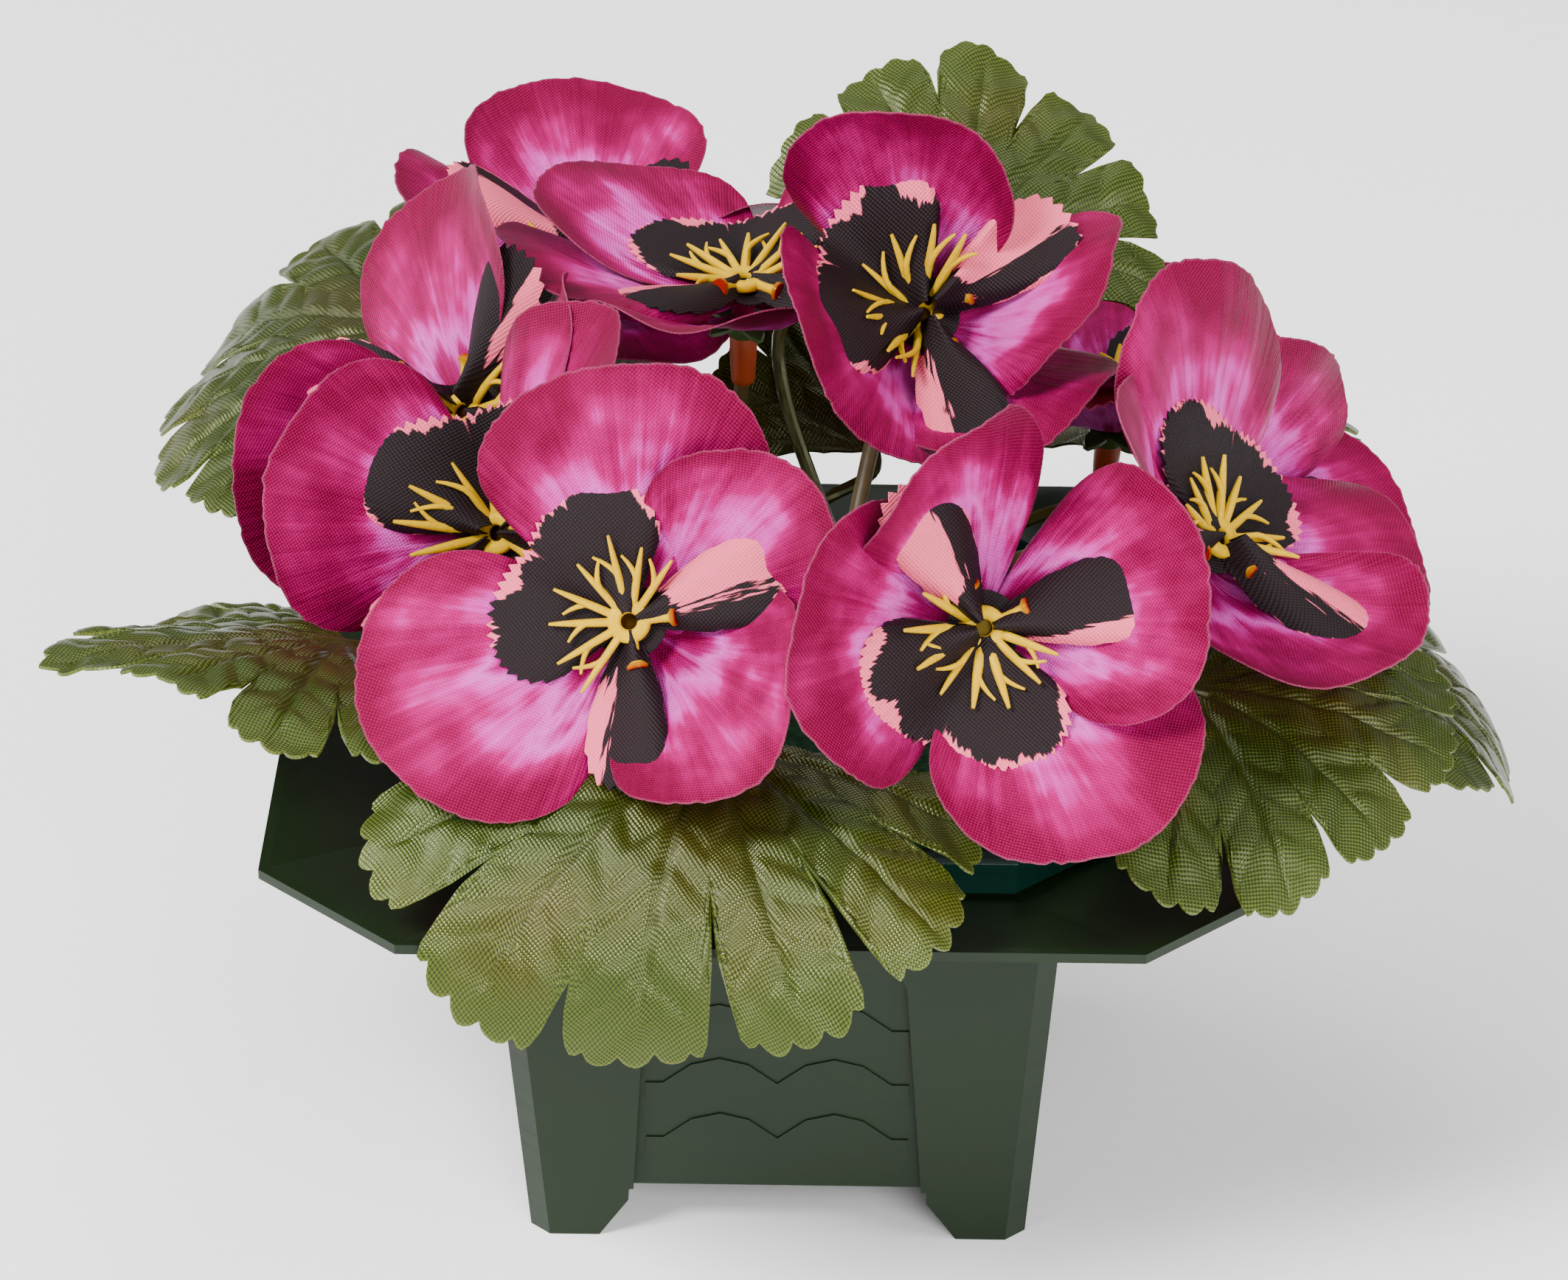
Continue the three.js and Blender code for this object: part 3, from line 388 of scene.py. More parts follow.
# %% [markdown]
# The petals of such a pansy are die-cut from printed polyester and pressed hot over a mould, so each
# is a shallow dish that lifts off its hub, with soft ripples towards its frayed rim. Sculpting forty
# of them by hand would be slow, and one formula with seven numbers a petal gives them all.

# %% Petal surface
SECTOR, SECTOR_GAP = 57, 0.8
FULLNESS = 0.32
HUB_BEND, ROOT_OUT = 8.0, 0.8
PETAL_LEVELS = [1.35, 0.45, -0.45, -1.35]
RIM_WAVE, RIM_RIPPLE, FOLD_DEPTH, CURL_FROM = 2.2, 0.7, 0.8, 0.7


def bloom_axes(azimuth, elevation):
    """Facing axis from the two angles, a level axis to its right, and the axis up its face."""
    a, e = np.radians([azimuth, elevation])
    facing = np.array([math.sin(a) * math.cos(e), -math.cos(a) * math.cos(e), math.sin(e)])
    level = np.array([math.cos(a), math.sin(a), 0.0])
    return level, np.cross(facing, level), facing


def arc(s, start, rate):
    """Forward and upward travel after a length s that starts at an angle and bends at a steady rate:
    the sines and cosines of both ends' angles, divided by the rate."""
    rate = rate if abs(rate) > 1e-6 else 1e-6
    end = start + rate * s
    return (np.sin(end) - np.sin(start)) / rate, (np.cos(start) - np.cos(end)) / rate


def petal_grid(petal, level, out, side, ruffle=None):
    """Places on a blade in its bloom's own axes. Out runs from 0 at the root to 1 at the rim and side
    from -1 to 1. The blade bends up over its first 8 mm and on slowly after that, its rim rolls round
    its length, and it is dished by the square of the place across. Ruffles are two sine waves round
    the rim that grow with the third and fourth power of out, pressed folds that are strongest a little
    beyond half way, and a curl of the last third."""
    turn, lift, roll, length, width, bend, cup = petal
    theta = np.radians((SECTOR - SECTOR_GAP) * side)
    reach = np.cos(np.radians(90 * np.degrees(theta) / SECTOR)) ** FULLNESS
    x = width / 2 * out * reach * np.sin(theta) / 0.5
    y = length * out * reach * np.cos(theta)
    lift, bend, turn = np.radians([lift, bend, turn])
    slow = bend / length
    near, far = np.minimum(y, HUB_BEND), np.maximum(y - HUB_BEND, 0)
    p1, q1 = arc(near, 0, lift / HUB_BEND + slow)
    p2, q2 = arc(far, lift + slow * HUB_BEND, slow)
    angle = lift * near / HUB_BEND + slow * y
    along = np.array([math.cos(turn), math.sin(turn), 0])
    across = np.array([math.sin(turn), -math.cos(turn), 0])
    up = np.array([0, 0, 1.0])
    normal = -np.sin(angle)[..., None] * along + np.cos(angle)[..., None] * up
    spin = (np.radians(roll) * out * (2 - out))[..., None]
    sideways = np.cos(spin) * across + np.sin(spin) * normal
    over = -np.sin(spin) * across + np.cos(spin) * normal
    dish = cup * (x / (width / 2)) ** 2 * (y / length)
    if ruffle is not None:
        n1, phase1, n2, phase2, folds, curl = ruffle
        dish = dish + RIM_WAVE * out**3 * np.sin(n1 * theta + phase1)
        dish = dish + RIM_RIPPLE * out**4 * np.sin(n2 * theta + phase2)
        wander = phase2 + 2 * np.sin(3 * theta + phase1)
        dish = dish + FOLD_DEPTH * out**1.5 * (1 - out) * np.sin(folds * theta + wander)
        dish = dish + curl * (np.clip(out - CURL_FROM, 0, 1) / (1 - CURL_FROM)) ** 2
    grid = (level + q1 + q2)[..., None] * up + (p1 + p2 + ROOT_OUT)[..., None] * along
    return grid + x[..., None] * sideways + dish[..., None] * over, x, y, theta


# %% [markdown]
# The colour of the petals goes from a strong magenta near the eye to a paler lilac-pink in the middle and
# back to magenta near the rim. It is the print with painted light in it: the deep magenta near the hub is
# partly painted shade, and the pale lilac-pink is partly a painted satin highlight. A ramp along the way
# out gives it, and two noises shift the place that the ramp reads: one makes long thin streaks, which also
# paint the light and shade of the pressed creases, the other broad clouds. Under the print lies the cloth:
# a plain weave seen as rows of dots a little under half a millimetre apart, painted pale as the highlight
# on each thread, and fine creases from the hot press that run outwards from the hub. The cut edge is pale
# where it frays.

# %% Printed polyester petal cloth
THREAD = 0.3


def weave(tree, scale=1.0):
    """Dots set like bricks: the product of a sine wave across the cloth and one along it, each twice
    as long as a thread is wide, times the scale."""
    cloth = add(tree, "UVMap", uv_map="cloth").outputs[0]
    parts = add(tree, "SeparateXYZ", {0: cloth}).outputs
    waves = [math_of(tree, "SINE", math_of(tree, "MULTIPLY", parts[way], math.pi / (THREAD * scale)))
             for way in (0, 1)]
    return math_of(tree, "MULTIPLY", *waves)


def paler_rim(tree, out, start, strength, below, colour):
    """The colour below, mixed with a pale one where the way out passes the start."""
    rim = add(tree, "MapRange", {"Value": out, "From Min": start, "From Max": 1.0}).outputs[0]
    return mix_colour(tree, math_of(tree, "MULTIPLY", rim, strength), below, colour)


def petal_cloth():
    """Woven polyester, printed and hot pressed: soft sheen, no mirror gloss, light comes through."""
    material, tree, shader = new_material("printed_polyester_petal", {
        "Roughness": 0.38, "Specular IOR Level": 0.09, "Specular Tint": "#FFA0D8",
        "Subsurface Weight": 0.12, "Subsurface Radius": (1.0, 0.3, 0.6), "Subsurface Scale": 0.6 * MM})
    out = value(tree, "out")
    polar = add(tree, "CombineXYZ", {0: value(tree, "spoke"), 1: out, 2: value(tree, "seed")}).outputs[0]
    streaks = noise(tree, squeezed(tree, polar, (22, 1.2, 7)), 1.0, 4.0, Roughness=0.6)
    cloudy = noise(tree, squeezed(tree, polar, (3.2, 3.0, 5)), 1.0, 2.0)
    # The streaks also paint the light and shade of the pressed creases.
    shift = math_of(tree, "MULTIPLY_ADD", streaks, 0.4, -0.2)
    shift = math_of(tree, "ADD", shift, math_of(tree, "MULTIPLY_ADD", cloudy, 1.15, -0.57))
    # Print with painted light: the dark stops near the hub are partly painted shade, and the pale lilac
    # stops are partly a painted satin highlight.
    print_with_painted_light = add(tree, "ValToRGB", {0: math_of(tree, "ADD", out, shift)}, stops=[
        (0.0, "#780034"), (0.16, "#94005C"), (0.34, "#C84CAC"), (0.47, "#BC3094"), (0.6, "#9A0058"),
        (0.78, "#780038"), (1.0, "#600022")]).outputs[0]
    dots = weave(tree)
    # Painted highlight: the weave dots are mixed towards pale pink as the glint on each thread.
    painted_thread_highlight = math_of(tree, "MULTIPLY_ADD", dots, 0.15, 0.02, clamp=True)
    coloured = mix_colour(tree, painted_thread_highlight, print_with_painted_light, "#CC3098")
    coloured = paler_rim(tree, out, 0.988, 0.12, coloured, "#C87A98")
    creases = math_of(tree, "MULTIPLY", streaks, 0.6)
    dress(tree, shader, coloured, math_of(tree, "MULTIPLY_ADD", dots, 0.05, creases), 1.2, 0.8)
    return material


PETAL_CLOTH = petal_cloth()

# %% [markdown]
# Each blade gets a fine grid: 26 rows by 72 columns show the ripples, and its last rows are nudged in
# and out by a tenth of a millimetre or so for the fray. The four blades and the small hub that they
# are pressed onto are one piece, as in the CAD part.

# %% Make the petals
ROWS, COLUMNS = 26, 72
CLOTH = 0.22
ROOT_PART = 0.04
HUB_RADIUS, HUB_HALF = 1.7, 1.75
FRAY = 0.0035
RUFFLE_FROM, RUFFLE_TO = (3, 0, 8, 0, 13, -2.2), (5, 6.3, 11, 6.3, 17, 0.8)


def bloom_to_frame(points, bloom):
    """Places in a bloom's own axes become places in the planter's."""
    level, up, facing = bloom_axes(bloom["azimuth"], bloom["elevation"])
    return bloom["hub"] + points @ np.stack([level, up, facing])


def make_petals(bloom):
    """The blades differ in their draws: two ripples round the rim, the press folds and the curl."""
    shells = []
    side = np.linspace(-1, 1, COLUMNS + 1)[None, :]
    for petal, level in zip(bloom["petals"], PETAL_LEVELS):
        fray = 1 + draw.normal(0, FRAY, COLUMNS + 1) * np.linspace(0, 1, ROWS)[:, None] ** 12
        out = (ROOT_PART + 0.955 * np.linspace(0, 1, ROWS) ** 0.85)[:, None] * fray
        ruffle = draw.uniform(RUFFLE_FROM, RUFFLE_TO)
        grid, x, y, theta = petal_grid(petal, level, out, side + 0 * out, ruffle)
        shells.append(cloth_shell(bloom_to_frame(grid[:, ::-1], bloom), CLOTH, {
            "out": np.linspace(ROOT_PART, 1, ROWS)[:, None], "spoke": theta[:, ::-1],
            "seed": draw.uniform(0, 10), "across": x[:, ::-1], "along": y[:, ::-1]}))
    rod = bloom_to_frame(np.array([[0, 0, z] for z in (-HUB_HALF, 0, HUB_HALF)]), bloom)
    shells.append((*tube_shell(rod, HUB_RADIUS, 16), {"out": 0.05}))
    return make_piece(bloom["name"] + "_petal_cloth", shells, bloom["name"] + "_petals",
                      PETAL_CLOTH)


petals = [make_petals(bloom) for bloom in PANSIES]
print("petals made, faces:", sum(len(piece.data.polygons) for piece in petals))

# %% [markdown]
# The dark face is a second, smaller cut of cloth laid over the petals: a wide fan with a pinked pink
# border over the front, and two side lobes that are part pink and part black-brown. It lies on the
# petals like a napkin. A cloth simulation could drape it, but a height table does: at each place of a
# coarse grid round the hub it holds the highest petal point nearby, evened out, and the face reads its
# height between those places and lies three quarters of a millimetre above.

# %% Drape something over a bloom's petals
DRAPE_REACH, DRAPE_LOWEST = 3.0, 1.6
COVER_FROM, COVER_TO = 1, 24
COVER_RADII, COVER_TURNS = 9, 60


def petal_cloud(bloom):
    """All petals of a bloom as one loose cloud of points in its own axes."""
    out, side = np.meshgrid(np.linspace(0.05, 1, 34), np.linspace(-1, 1, 41), indexing="ij")
    return np.concatenate([petal_grid(petal, level, out, side)[0].reshape(-1, 3)
                           for petal, level in zip(bloom["petals"], PETAL_LEVELS)])


def drape(cloud, places):
    """Height of the highest cloud point within the reach of each place, at least the height that the
    face has where it is pressed to the hub."""
    flat = places.reshape(-1, 2)
    gap = ((flat[:, None] - cloud[None, :, :2]) ** 2).sum(-1)
    height = np.where(gap < DRAPE_REACH**2, cloud[None, :, 2], DRAPE_LOWEST).max(1)
    return height.reshape(places.shape[:-1])


def even_out(height, times):
    """Each value becomes the average of itself and its neighbours, out and round, that many times."""
    for _ in range(times):
        h = np.pad(height, ((1, 1), (0, 0)), mode="edge")
        height = (h[:-2] + 2 * h[1:-1] + h[2:]) / 4
        height = (np.roll(height, 1, 1) + 2 * height + np.roll(height, -1, 1)) / 4
    return height


def coarse_cover(bloom):
    """The drape on the coarse grid of radii and turns, evened out and joined up round the hub."""
    radii = np.linspace(COVER_FROM, COVER_TO, COVER_RADII)
    turns = np.linspace(0, 2 * np.pi, COVER_TURNS, endpoint=False)
    places = np.stack([radii[:, None] * np.cos(turns), radii[:, None] * np.sin(turns)], -1)
    coarse = even_out(drape(petal_cloud(bloom), places), 3)
    return np.concatenate([coarse, coarse[:, :1]], 1)


def cover_height(bloom, r, way):
    """The coarse cover read off between its places: straight along the radius, then round the turn."""
    coarse = bloom["cover"]
    steps = COVER_RADII - 1
    a = np.clip((r - COVER_FROM) / (COVER_TO - COVER_FROM) * steps, 0, steps - 0.001)
    b = way % (2 * np.pi) / (2 * np.pi) * COVER_TURNS
    a, b = np.broadcast_arrays(a, b)
    i, j = a.astype(int), b.astype(int)
    a, b = a - i, b - j
    near = coarse[i, j] * (1 - b) + coarse[i, j + 1] * b
    far = coarse[i + 1, j] * (1 - b) + coarse[i + 1, j + 1] * b
    return near * (1 - a) + far * a


for bloom in PANSIES:
    bloom["cover"] = coarse_cover(bloom)
print("highest petal point over its hub:", round(max(b["cover"].max() for b in PANSIES), 1), "mm")

# %% Face outline and print
FAN = dict(half=76, long=19.3, short=16.8, drop=5)
LOBE = dict(turn=54, half=29, long=23.0, neck=5.0)
LOBE_SPLIT, LOBE_TIP = (3.2, -0.6), (2.5, -0.5)
TEETH, TOOTH = 82, 1.0
FACE_ROOT, FACE_ABOVE = 1.2, 0.75
PINK_BORDER, DARK_EYE = 1.3, 6


def face_outline(turn):
    """Reach in millimetres for a turn from the fan's middle. The fan is a short radius plus a hump on
    each side, and a side lobe is a long radius that falls with the third power of the turn from its
    own middle. The pinked edge is a triangle wave. Returns the cut, the rim before pinking, the turn
    folded into plus and minus half a round, and where the point lies on its side lobe."""
    t = (np.degrees(turn) + 180) % 360 - 180
    u = np.clip(np.abs(t) / FAN["half"], 0, 1)
    fan = FAN["short"] + (FAN["long"] - FAN["short"]) * np.sin(np.pi * u) - FAN["drop"] * u**9
    off = np.abs(t) - (180 - LOBE["turn"])
    w = np.clip(np.abs(off) / LOBE["half"], 0, 1)
    lobe = LOBE["neck"] + (LOBE["long"] - LOBE["neck"]) * np.clip(1 - w**3, 0, 1)
    rim = np.where(np.abs(t) < FAN["half"], fan, np.where(np.abs(off) < LOBE["half"], lobe, LOBE["neck"]))
    tooth = np.abs(turn / (2 * np.pi) * TEETH % 1 * 2 - 1) * TOOTH
    return rim - np.where(rim > LOBE["neck"] + 2, tooth, 0), rim, t, off


def make_face(bloom):
    """A sheet in rows from the hub to the rim, of which only the last ones are pinked. The black print:
    on the fan, how far inside the rim; on the side lobes, how far a point lies beyond a line along
    the lobe, which leaves one lobe mostly black and the other mostly pink."""
    columns, rows = TEETH * 6, 9
    turn = np.linspace(0, 2 * np.pi, columns, endpoint=False)[None, :]
    cut, rim, t, off = face_outline(turn)
    out = np.linspace(0, 1, rows)[:, None]
    r = FACE_ROOT + (rim - FACE_ROOT) * out**0.9 + (cut - rim) * out**12
    way = turn + math.radians(bloom["fan"])
    places = np.stack([r * np.cos(way), r * np.sin(way)], -1)
    height = even_out(cover_height(bloom, r, way), 24) + FACE_ABOVE
    cover = np.concatenate([places, height[..., None]], -1)
    on_lobe = np.minimum(np.radians(off) * r + np.where(t > 0, *LOBE_SPLIT),
                         rim - r + np.where(t > 0, *LOBE_TIP))
    black = np.where(np.abs(t) < FAN["half"] + 3, rim - PINK_BORDER - r, on_lobe)
    black = np.where(r < DARK_EYE, 3.0, black)
    sheet = cloth_shell(bloom_to_frame(cover, bloom), CLOTH, {
        "black": black, "across": places[..., 0], "along": places[..., 1],
        "seed": draw.uniform(0, 10), "spoke": np.degrees(turn) * 0.3, "out": r}, round_way=True)
    return make_piece(bloom["name"] + "_face_cloth", [sheet], bloom["name"] + "_face",
                      FACE_CLOTH)


# %% [markdown]
# The face cloth has the same weave, printed in two flat colours whose border wanders a little from
# thread to thread.

# %% Printed face cloth, then the faces
def face_cloth():
    """Woven polyester with a hard-edged print, matt and a little dusty."""
    material, tree, shader = new_material("printed_polyester_face", {
        "Roughness": 0.6, "Specular IOR Level": 0.15})
    dots = weave(tree)
    reach = math_of(tree, "MULTIPLY", value(tree, "out"), 0.12)
    place = add(tree, "CombineXYZ", {0: value(tree, "spoke"), 1: reach, 2: value(tree, "seed")}).outputs[0]
    spikes = noise(tree, place, 1.4, 2.0)
    slow = noise(tree, place, 0.22, 0.0)
    wander = math_of(tree, "MULTIPLY_ADD", spikes, 4.0, -2.0)
    wander = math_of(tree, "ADD", wander, math_of(tree, "MULTIPLY_ADD", slow, 6.0, -3.0))
    edge = math_of(tree, "ADD", value(tree, "black"), wander)
    edge = add(tree, "MapRange", {"Value": edge, "From Min": -0.1, "From Max": 0.15}).outputs[0]
    pink = mix_colour(tree, math_of(tree, "MULTIPLY_ADD", dots, 0.2, 0.12, clamp=True),
                      "#D8506C", "#F098A8")
    dark = mix_colour(tree, math_of(tree, "MULTIPLY_ADD", dots, 0.06, 0.05, clamp=True),
                      "#0E0709", "#5A4048")
    dress(tree, shader, mix_colour(tree, edge, pink, dark), dots, 0.08, 0.8)
    return material


FACE_CLOTH = face_cloth()
for bloom in PANSIES:
    make_face(bloom)
print("faces made, teeth on each:", TEETH)

# %% [markdown]
# The stamens are one soft moulding, yellow and a little waxy: a ring round a hole on the hub, whose floor
# is painted dark brown as the hole's shade, eight forked prongs that lie out over the fan, and two short
# styles opposite, each with a flat disc whose end is dipped in red. Each prong is two tapered tubes, a
# straight one and a shorter one that turns off half way, because tubes that share their root look like one
# forked moulding.

# %% Wax-like stamen plastic
def stamen_plastic():
    """Soft polyethylene moulding of low gloss. The value tip is 1 where it is dipped in red, and -1 on the
    floor of the hole, which is painted dark brown as the hole's shade."""
    material, tree, shader = new_material("moulded_polyethylene_stamen", {
        "Roughness": 0.3, "Specular IOR Level": 0.2, "Specular Tint": "#FFE060"})
    mottle = noise(tree, own_place(tree), 900.0, 3.0)
    yellow = mix_colour(tree, mottle, "#AC8600", "#D0A800")
    tip = value(tree, "tip")
    dipped = mix_colour(tree, math_of(tree, "MULTIPLY", tip, 1.0, clamp=True), yellow, "#780A02")
    # Painted shade: the floor of the hole is painted dark brown.
    hole = math_of(tree, "MULTIPLY", tip, -1.0, clamp=True)
    dress(tree, shader, mix_colour(tree, hole, dipped, "#2A1002"), mottle, 0.15, 0.4)
    return material


STAMEN_PLASTIC = stamen_plastic()

# %% Make the stamens
RING = dict(major=2.05, level=3.95, wide=0.95, high=0.8)
PRONGS, PRONG_SPREAD = 8, 94
PRONG_ROOT, PRONG_START, PRONG_TIP, PRONG_CLEAR = 2.2, 4.0, 1.4, 0.8
FORK_FROM, FORK_TURN = 0.55, 17
STYLE_TURN, STYLE_LONG = 42, 6.6
STYLE_RADII = np.array([0.8, 0.75, 0.7, 0.7, 0.7, 0.75, 0.8, 1.5, 1.35])


def prong(bloom, turn, long, thick, fork=0.0):
    """A tapered tube from the ring outwards in a straight line, bowed up by the sine of the way along
    it where it would touch the face, and ending in a point."""
    s = np.linspace(0, 1, 9)
    r = PRONG_ROOT + (long - PRONG_ROOT) * s
    forked = np.clip(s - FORK_FROM, 0, 1) / (1 - FORK_FROM)
    way = math.radians(bloom["fan"] + turn) + math.radians(fork) * forked
    floor = cover_height(bloom, r, way) + FACE_ABOVE
    height = PRONG_START * (1 - s) + s * (floor[-1] + PRONG_TIP)
    bow = max(0, (floor + PRONG_CLEAR - height)[1:-1].max())
    path = np.stack([r * np.cos(way), r * np.sin(way), height + np.sin(np.pi * s) ** 0.5 * bow], -1)
    return path, thick * (1 - 0.65 * s**2.5)


def ring_shell(around, section):
    """A ring: a squared-off circle carried round the hub at the major radius."""
    turn = np.linspace(0, 2 * np.pi, around, endpoint=False)[:, None]
    way = np.linspace(0, 2 * np.pi, section, endpoint=False)[None, :]
    squash = lambda v: np.sign(v) * np.abs(v) ** 0.7
    rr = RING["major"] + RING["wide"] * squash(np.cos(way)) + 0 * turn
    height = RING["level"] + RING["high"] * squash(np.sin(way)) + 0 * turn
    grid = np.stack([rr * np.cos(turn), rr * np.sin(turn), height], -1)
    I = np.pad(np.arange(around * section).reshape(around, section), ((0, 1), (0, 1)), mode="wrap")
    quads = np.stack([I[:-1, :-1], I[1:, :-1], I[1:, 1:], I[:-1, 1:]], -1).reshape(-1, 4)
    return grid.reshape(-1, 3), quads


def make_stamens(bloom):
    """Ring, a floor down its hole that is painted dark brown as its shade, forked prongs and the two
    styles.
    """
    grid, quads = ring_shell(28, 14)
    # Painted shade: a short tube down the hole carries tip -1, so it is painted dark brown.
    hole = bloom_to_frame(np.array([[0, 0, 1.6], [0, 0, 3.0]]), bloom)
    shells = [(bloom_to_frame(grid, bloom), [quads], {"tip": 0.0}),
              (*tube_shell(hole, 1.6, 14), {"tip": -1.0})]
    for place in np.linspace(-PRONG_SPREAD, PRONG_SPREAD, PRONGS):
        turn = place + draw.uniform(-3, 3)
        long = draw.uniform(9.8, 11.8)
        straight = prong(bloom, turn, long, 0.72)
        forked = prong(bloom, turn, long * draw.uniform(0.8, 0.92), 0.66,
                       draw.choice([-FORK_TURN, FORK_TURN]))
        shells += [(*tube_shell(bloom_to_frame(path, bloom), radius, 8, 0.8), {"tip": 0.0})
                   for path, radius in (straight, forked)]
    red = np.repeat(np.clip((np.linspace(0, 1, len(STYLE_RADII)) - 0.8) / 0.12, 0, 1), 12)
    for turn in (180 - STYLE_TURN, 180 + STYLE_TURN):
        path = bloom_to_frame(prong(bloom, turn, STYLE_LONG, 1)[0], bloom)
        shells.append((*tube_shell(path, STYLE_RADII, 12, 0.9), {"tip": red}))
    return make_piece(bloom["name"] + "_stamen_star", shells, bloom["name"] + "_stamens",
                      STAMEN_PLASTIC, sharp=60)


for bloom in PANSIES:
    make_stamens(bloom)
print("stamens made, prongs on each:", PRONGS)

# %% [markdown]
# Behind each bloom sit three more mouldings pressed together: a dark green calyx cup with five pointed
# sepals, an orange-brown socket, and the brown-green stem that bends down into the foam. They are one
# piece, coloured by a value that says which moulding a point belongs to.

# %% Stalk plastic
def stalk_plastic():
    """Moulded polyethylene, semi-matt: green cup, orange-brown socket, brown stem."""
    material, tree, shader = new_material("moulded_polyethylene_stalk", {"Roughness": 0.5})
    mottle = noise(tree, own_place(tree), 260.0, 4.0)
    part = value(tree, "part")
    green = mix_colour(tree, mottle, "#2C4420", "#4E6A30")
    orange = mix_colour(tree, mottle, "#8C2C00", "#A84000")
    brown = mix_colour(tree, mottle, "#33240F", "#5A4A1E")
    first = math_of(tree, "GREATER_THAN", part, 0.5)
    second = math_of(tree, "GREATER_THAN", part, 1.5)
    colour = mix_colour(tree, second, mix_colour(tree, first, green, orange), brown)
    dress(tree, shader, colour, mottle, 0.2, 0.5)
    return material


STALK_PLASTIC = stalk_plastic()

# %% Make the stalks
FOAM_TOP, HOLE_DEPTH = 66.5, 16
STEM_RADIUS = 1.15
SEPALS, SEPAL_ROOT, SEPAL_LONG, SEPAL_HALF = 5, 2.4, 3.6, 1.9
CUP = [(-1.9, 2.6), (-2.1, 3.3), (-2.7, 3.2), (-3.6, 2.9), (-4.6, 2.3), (-5.2, 1.9)]
SOCKET = [(-4.4, 1.7), (-5.2, 2.0), (-8, 1.95), (-12, 1.75), (-12.8, 1.65), (-13, 1.4)]


def root_of(hole):
    """The straight last stretch down into a hole."""
    return [[hole[0], hole[1], FOAM_TOP + z] for z in (6, -4, 1 - HOLE_DEPTH)]


def turned(bloom, profile, sides):
    """A tube down the bloom's own axis through a list of heights and radii."""
    heights, radii = np.array(profile).T
    return tube_shell(bloom_to_frame(heights[:, None] * [0, 0, 1], bloom), radii, sides)


def sepal(bloom, way):
    """A pointed tongue: its half width falls with the power 0.6 of what is left of its length, and it
    sags with the third power of the way out."""
    s = np.linspace(0, 1, 12)[:, None]
    w = np.linspace(-1, 1, 9)[None, :]
    half = SEPAL_HALF * np.clip(1 - s, 0.04, 1) ** 0.6 * (0.75 + 0.7 * s)
    r = SEPAL_ROOT + SEPAL_LONG * s
    height = -2.4 - 0.15 * s - 0.35 * s**3 - 0.25 * (1 - w**2) * s
    x = r * math.cos(way) - w * half * math.sin(way)
    y = r * math.sin(way) + w * half * math.cos(way)
    return cloth_shell(bloom_to_frame(np.stack([x, y, height], -1), bloom), 0.5, {"part": 0.0})


def make_stalk(bloom):
    """Cup, socket, sepals and the stem, which leaves the socket straight and ends in its hole."""
    shells = [(*turned(bloom, CUP, 20), {"part": 0.0}), (*turned(bloom, SOCKET, 16), {"part": 1.0})]
    shells += [sepal(bloom, 2 * np.pi * i / SEPALS) for i in range(SEPALS)]
    starts = bloom_to_frame(np.array([[0, 0, -10], [0, 0, -21.0]]), bloom)
    path = smooth_path([*starts, bloom["via"], *root_of(bloom["hole"])], 14)
    shells.append((*tube_shell(path, STEM_RADIUS, 12), {"part": 2.0}))
    return make_piece(bloom["name"] + "_calyx_and_stem", shells, bloom["name"] + "_stalk",
                      STALK_PLASTIC, sharp=50)


for bloom in PANSIES:
    make_stalk(bloom)
print("stalks made, into", len(PANSIES), "holes of the foam")

# %% [markdown]
# The leaves are cut from heavier woven cloth, dyed olive, sprayed brown in places, and embossed in a
# press: each has seven lobes parted by notches of different depth, small scallops along each lobe, a
# main vein to each lobe and thinner ones that branch off it. The cloth puckers up between the veins.

# %% Leaf cloth
def leaf_cloth():
    """Heavy woven polyester with a resin coat: olive, brown spray, broad soft highlights."""
    material, tree, shader = new_material("coated_polyester_leaf", {
        "Specular IOR Level": 0.42, "Specular Tint": "#F4FFC8"})
    cloud = noise(tree, own_place(tree), 45.0, 4.0)
    fine = noise(tree, own_place(tree), 150.0, 4.0)
    dots = weave(tree, 1.15)
    vein = value(tree, "vein")
    out = value(tree, "out")
    green = mix_colour(tree, cloud, "#071000", "#162802")
    spray = math_of(tree, "MULTIPLY_ADD", cloud, 3.0, -0.9)
    spray = math_of(tree, "SUBTRACT", spray, math_of(tree, "MULTIPLY", out, 0.6), clamp=True)
    green = mix_colour(tree, spray, green, "#2A1804")
    green = mix_colour(tree, math_of(tree, "MULTIPLY", vein, 0.25), green, "#20260A")
    # Painted light: the leaf is painted paler towards its rim with the square of the way out, as its outer
    # parts are lit more than its middle; pale weave dots are added on top.
    painted_rim_light_and_weave = math_of(tree, "MULTIPLY_ADD", math_of(tree, "POWER", out, 2.0), 0.09, 0.015)
    painted_rim_light_and_weave = math_of(tree, "MULTIPLY_ADD", dots, 0.14, painted_rim_light_and_weave, clamp=True)
    green = mix_colour(tree, painted_rim_light_and_weave, green, "#80902C")
    green = paler_rim(tree, out, 0.99, 0.14, green, "#8C9248")
    stalk = mix_colour(tree, fine, "#241E08", "#3C3A10")
    colour = mix_colour(tree, value(tree, "part"), green, stalk)
    crumple = math_of(tree, "MULTIPLY", fine, 0.45)
    dress(tree, shader, colour, math_of(tree, "MULTIPLY_ADD", dots, 0.045, crumple), 1.0, 0.8)
    tree.links.new(math_of(tree, "MULTIPLY_ADD", fine, 0.3, 0.14), shader.inputs["Roughness"])
    return material


LEAF_CLOTH = leaf_cloth()

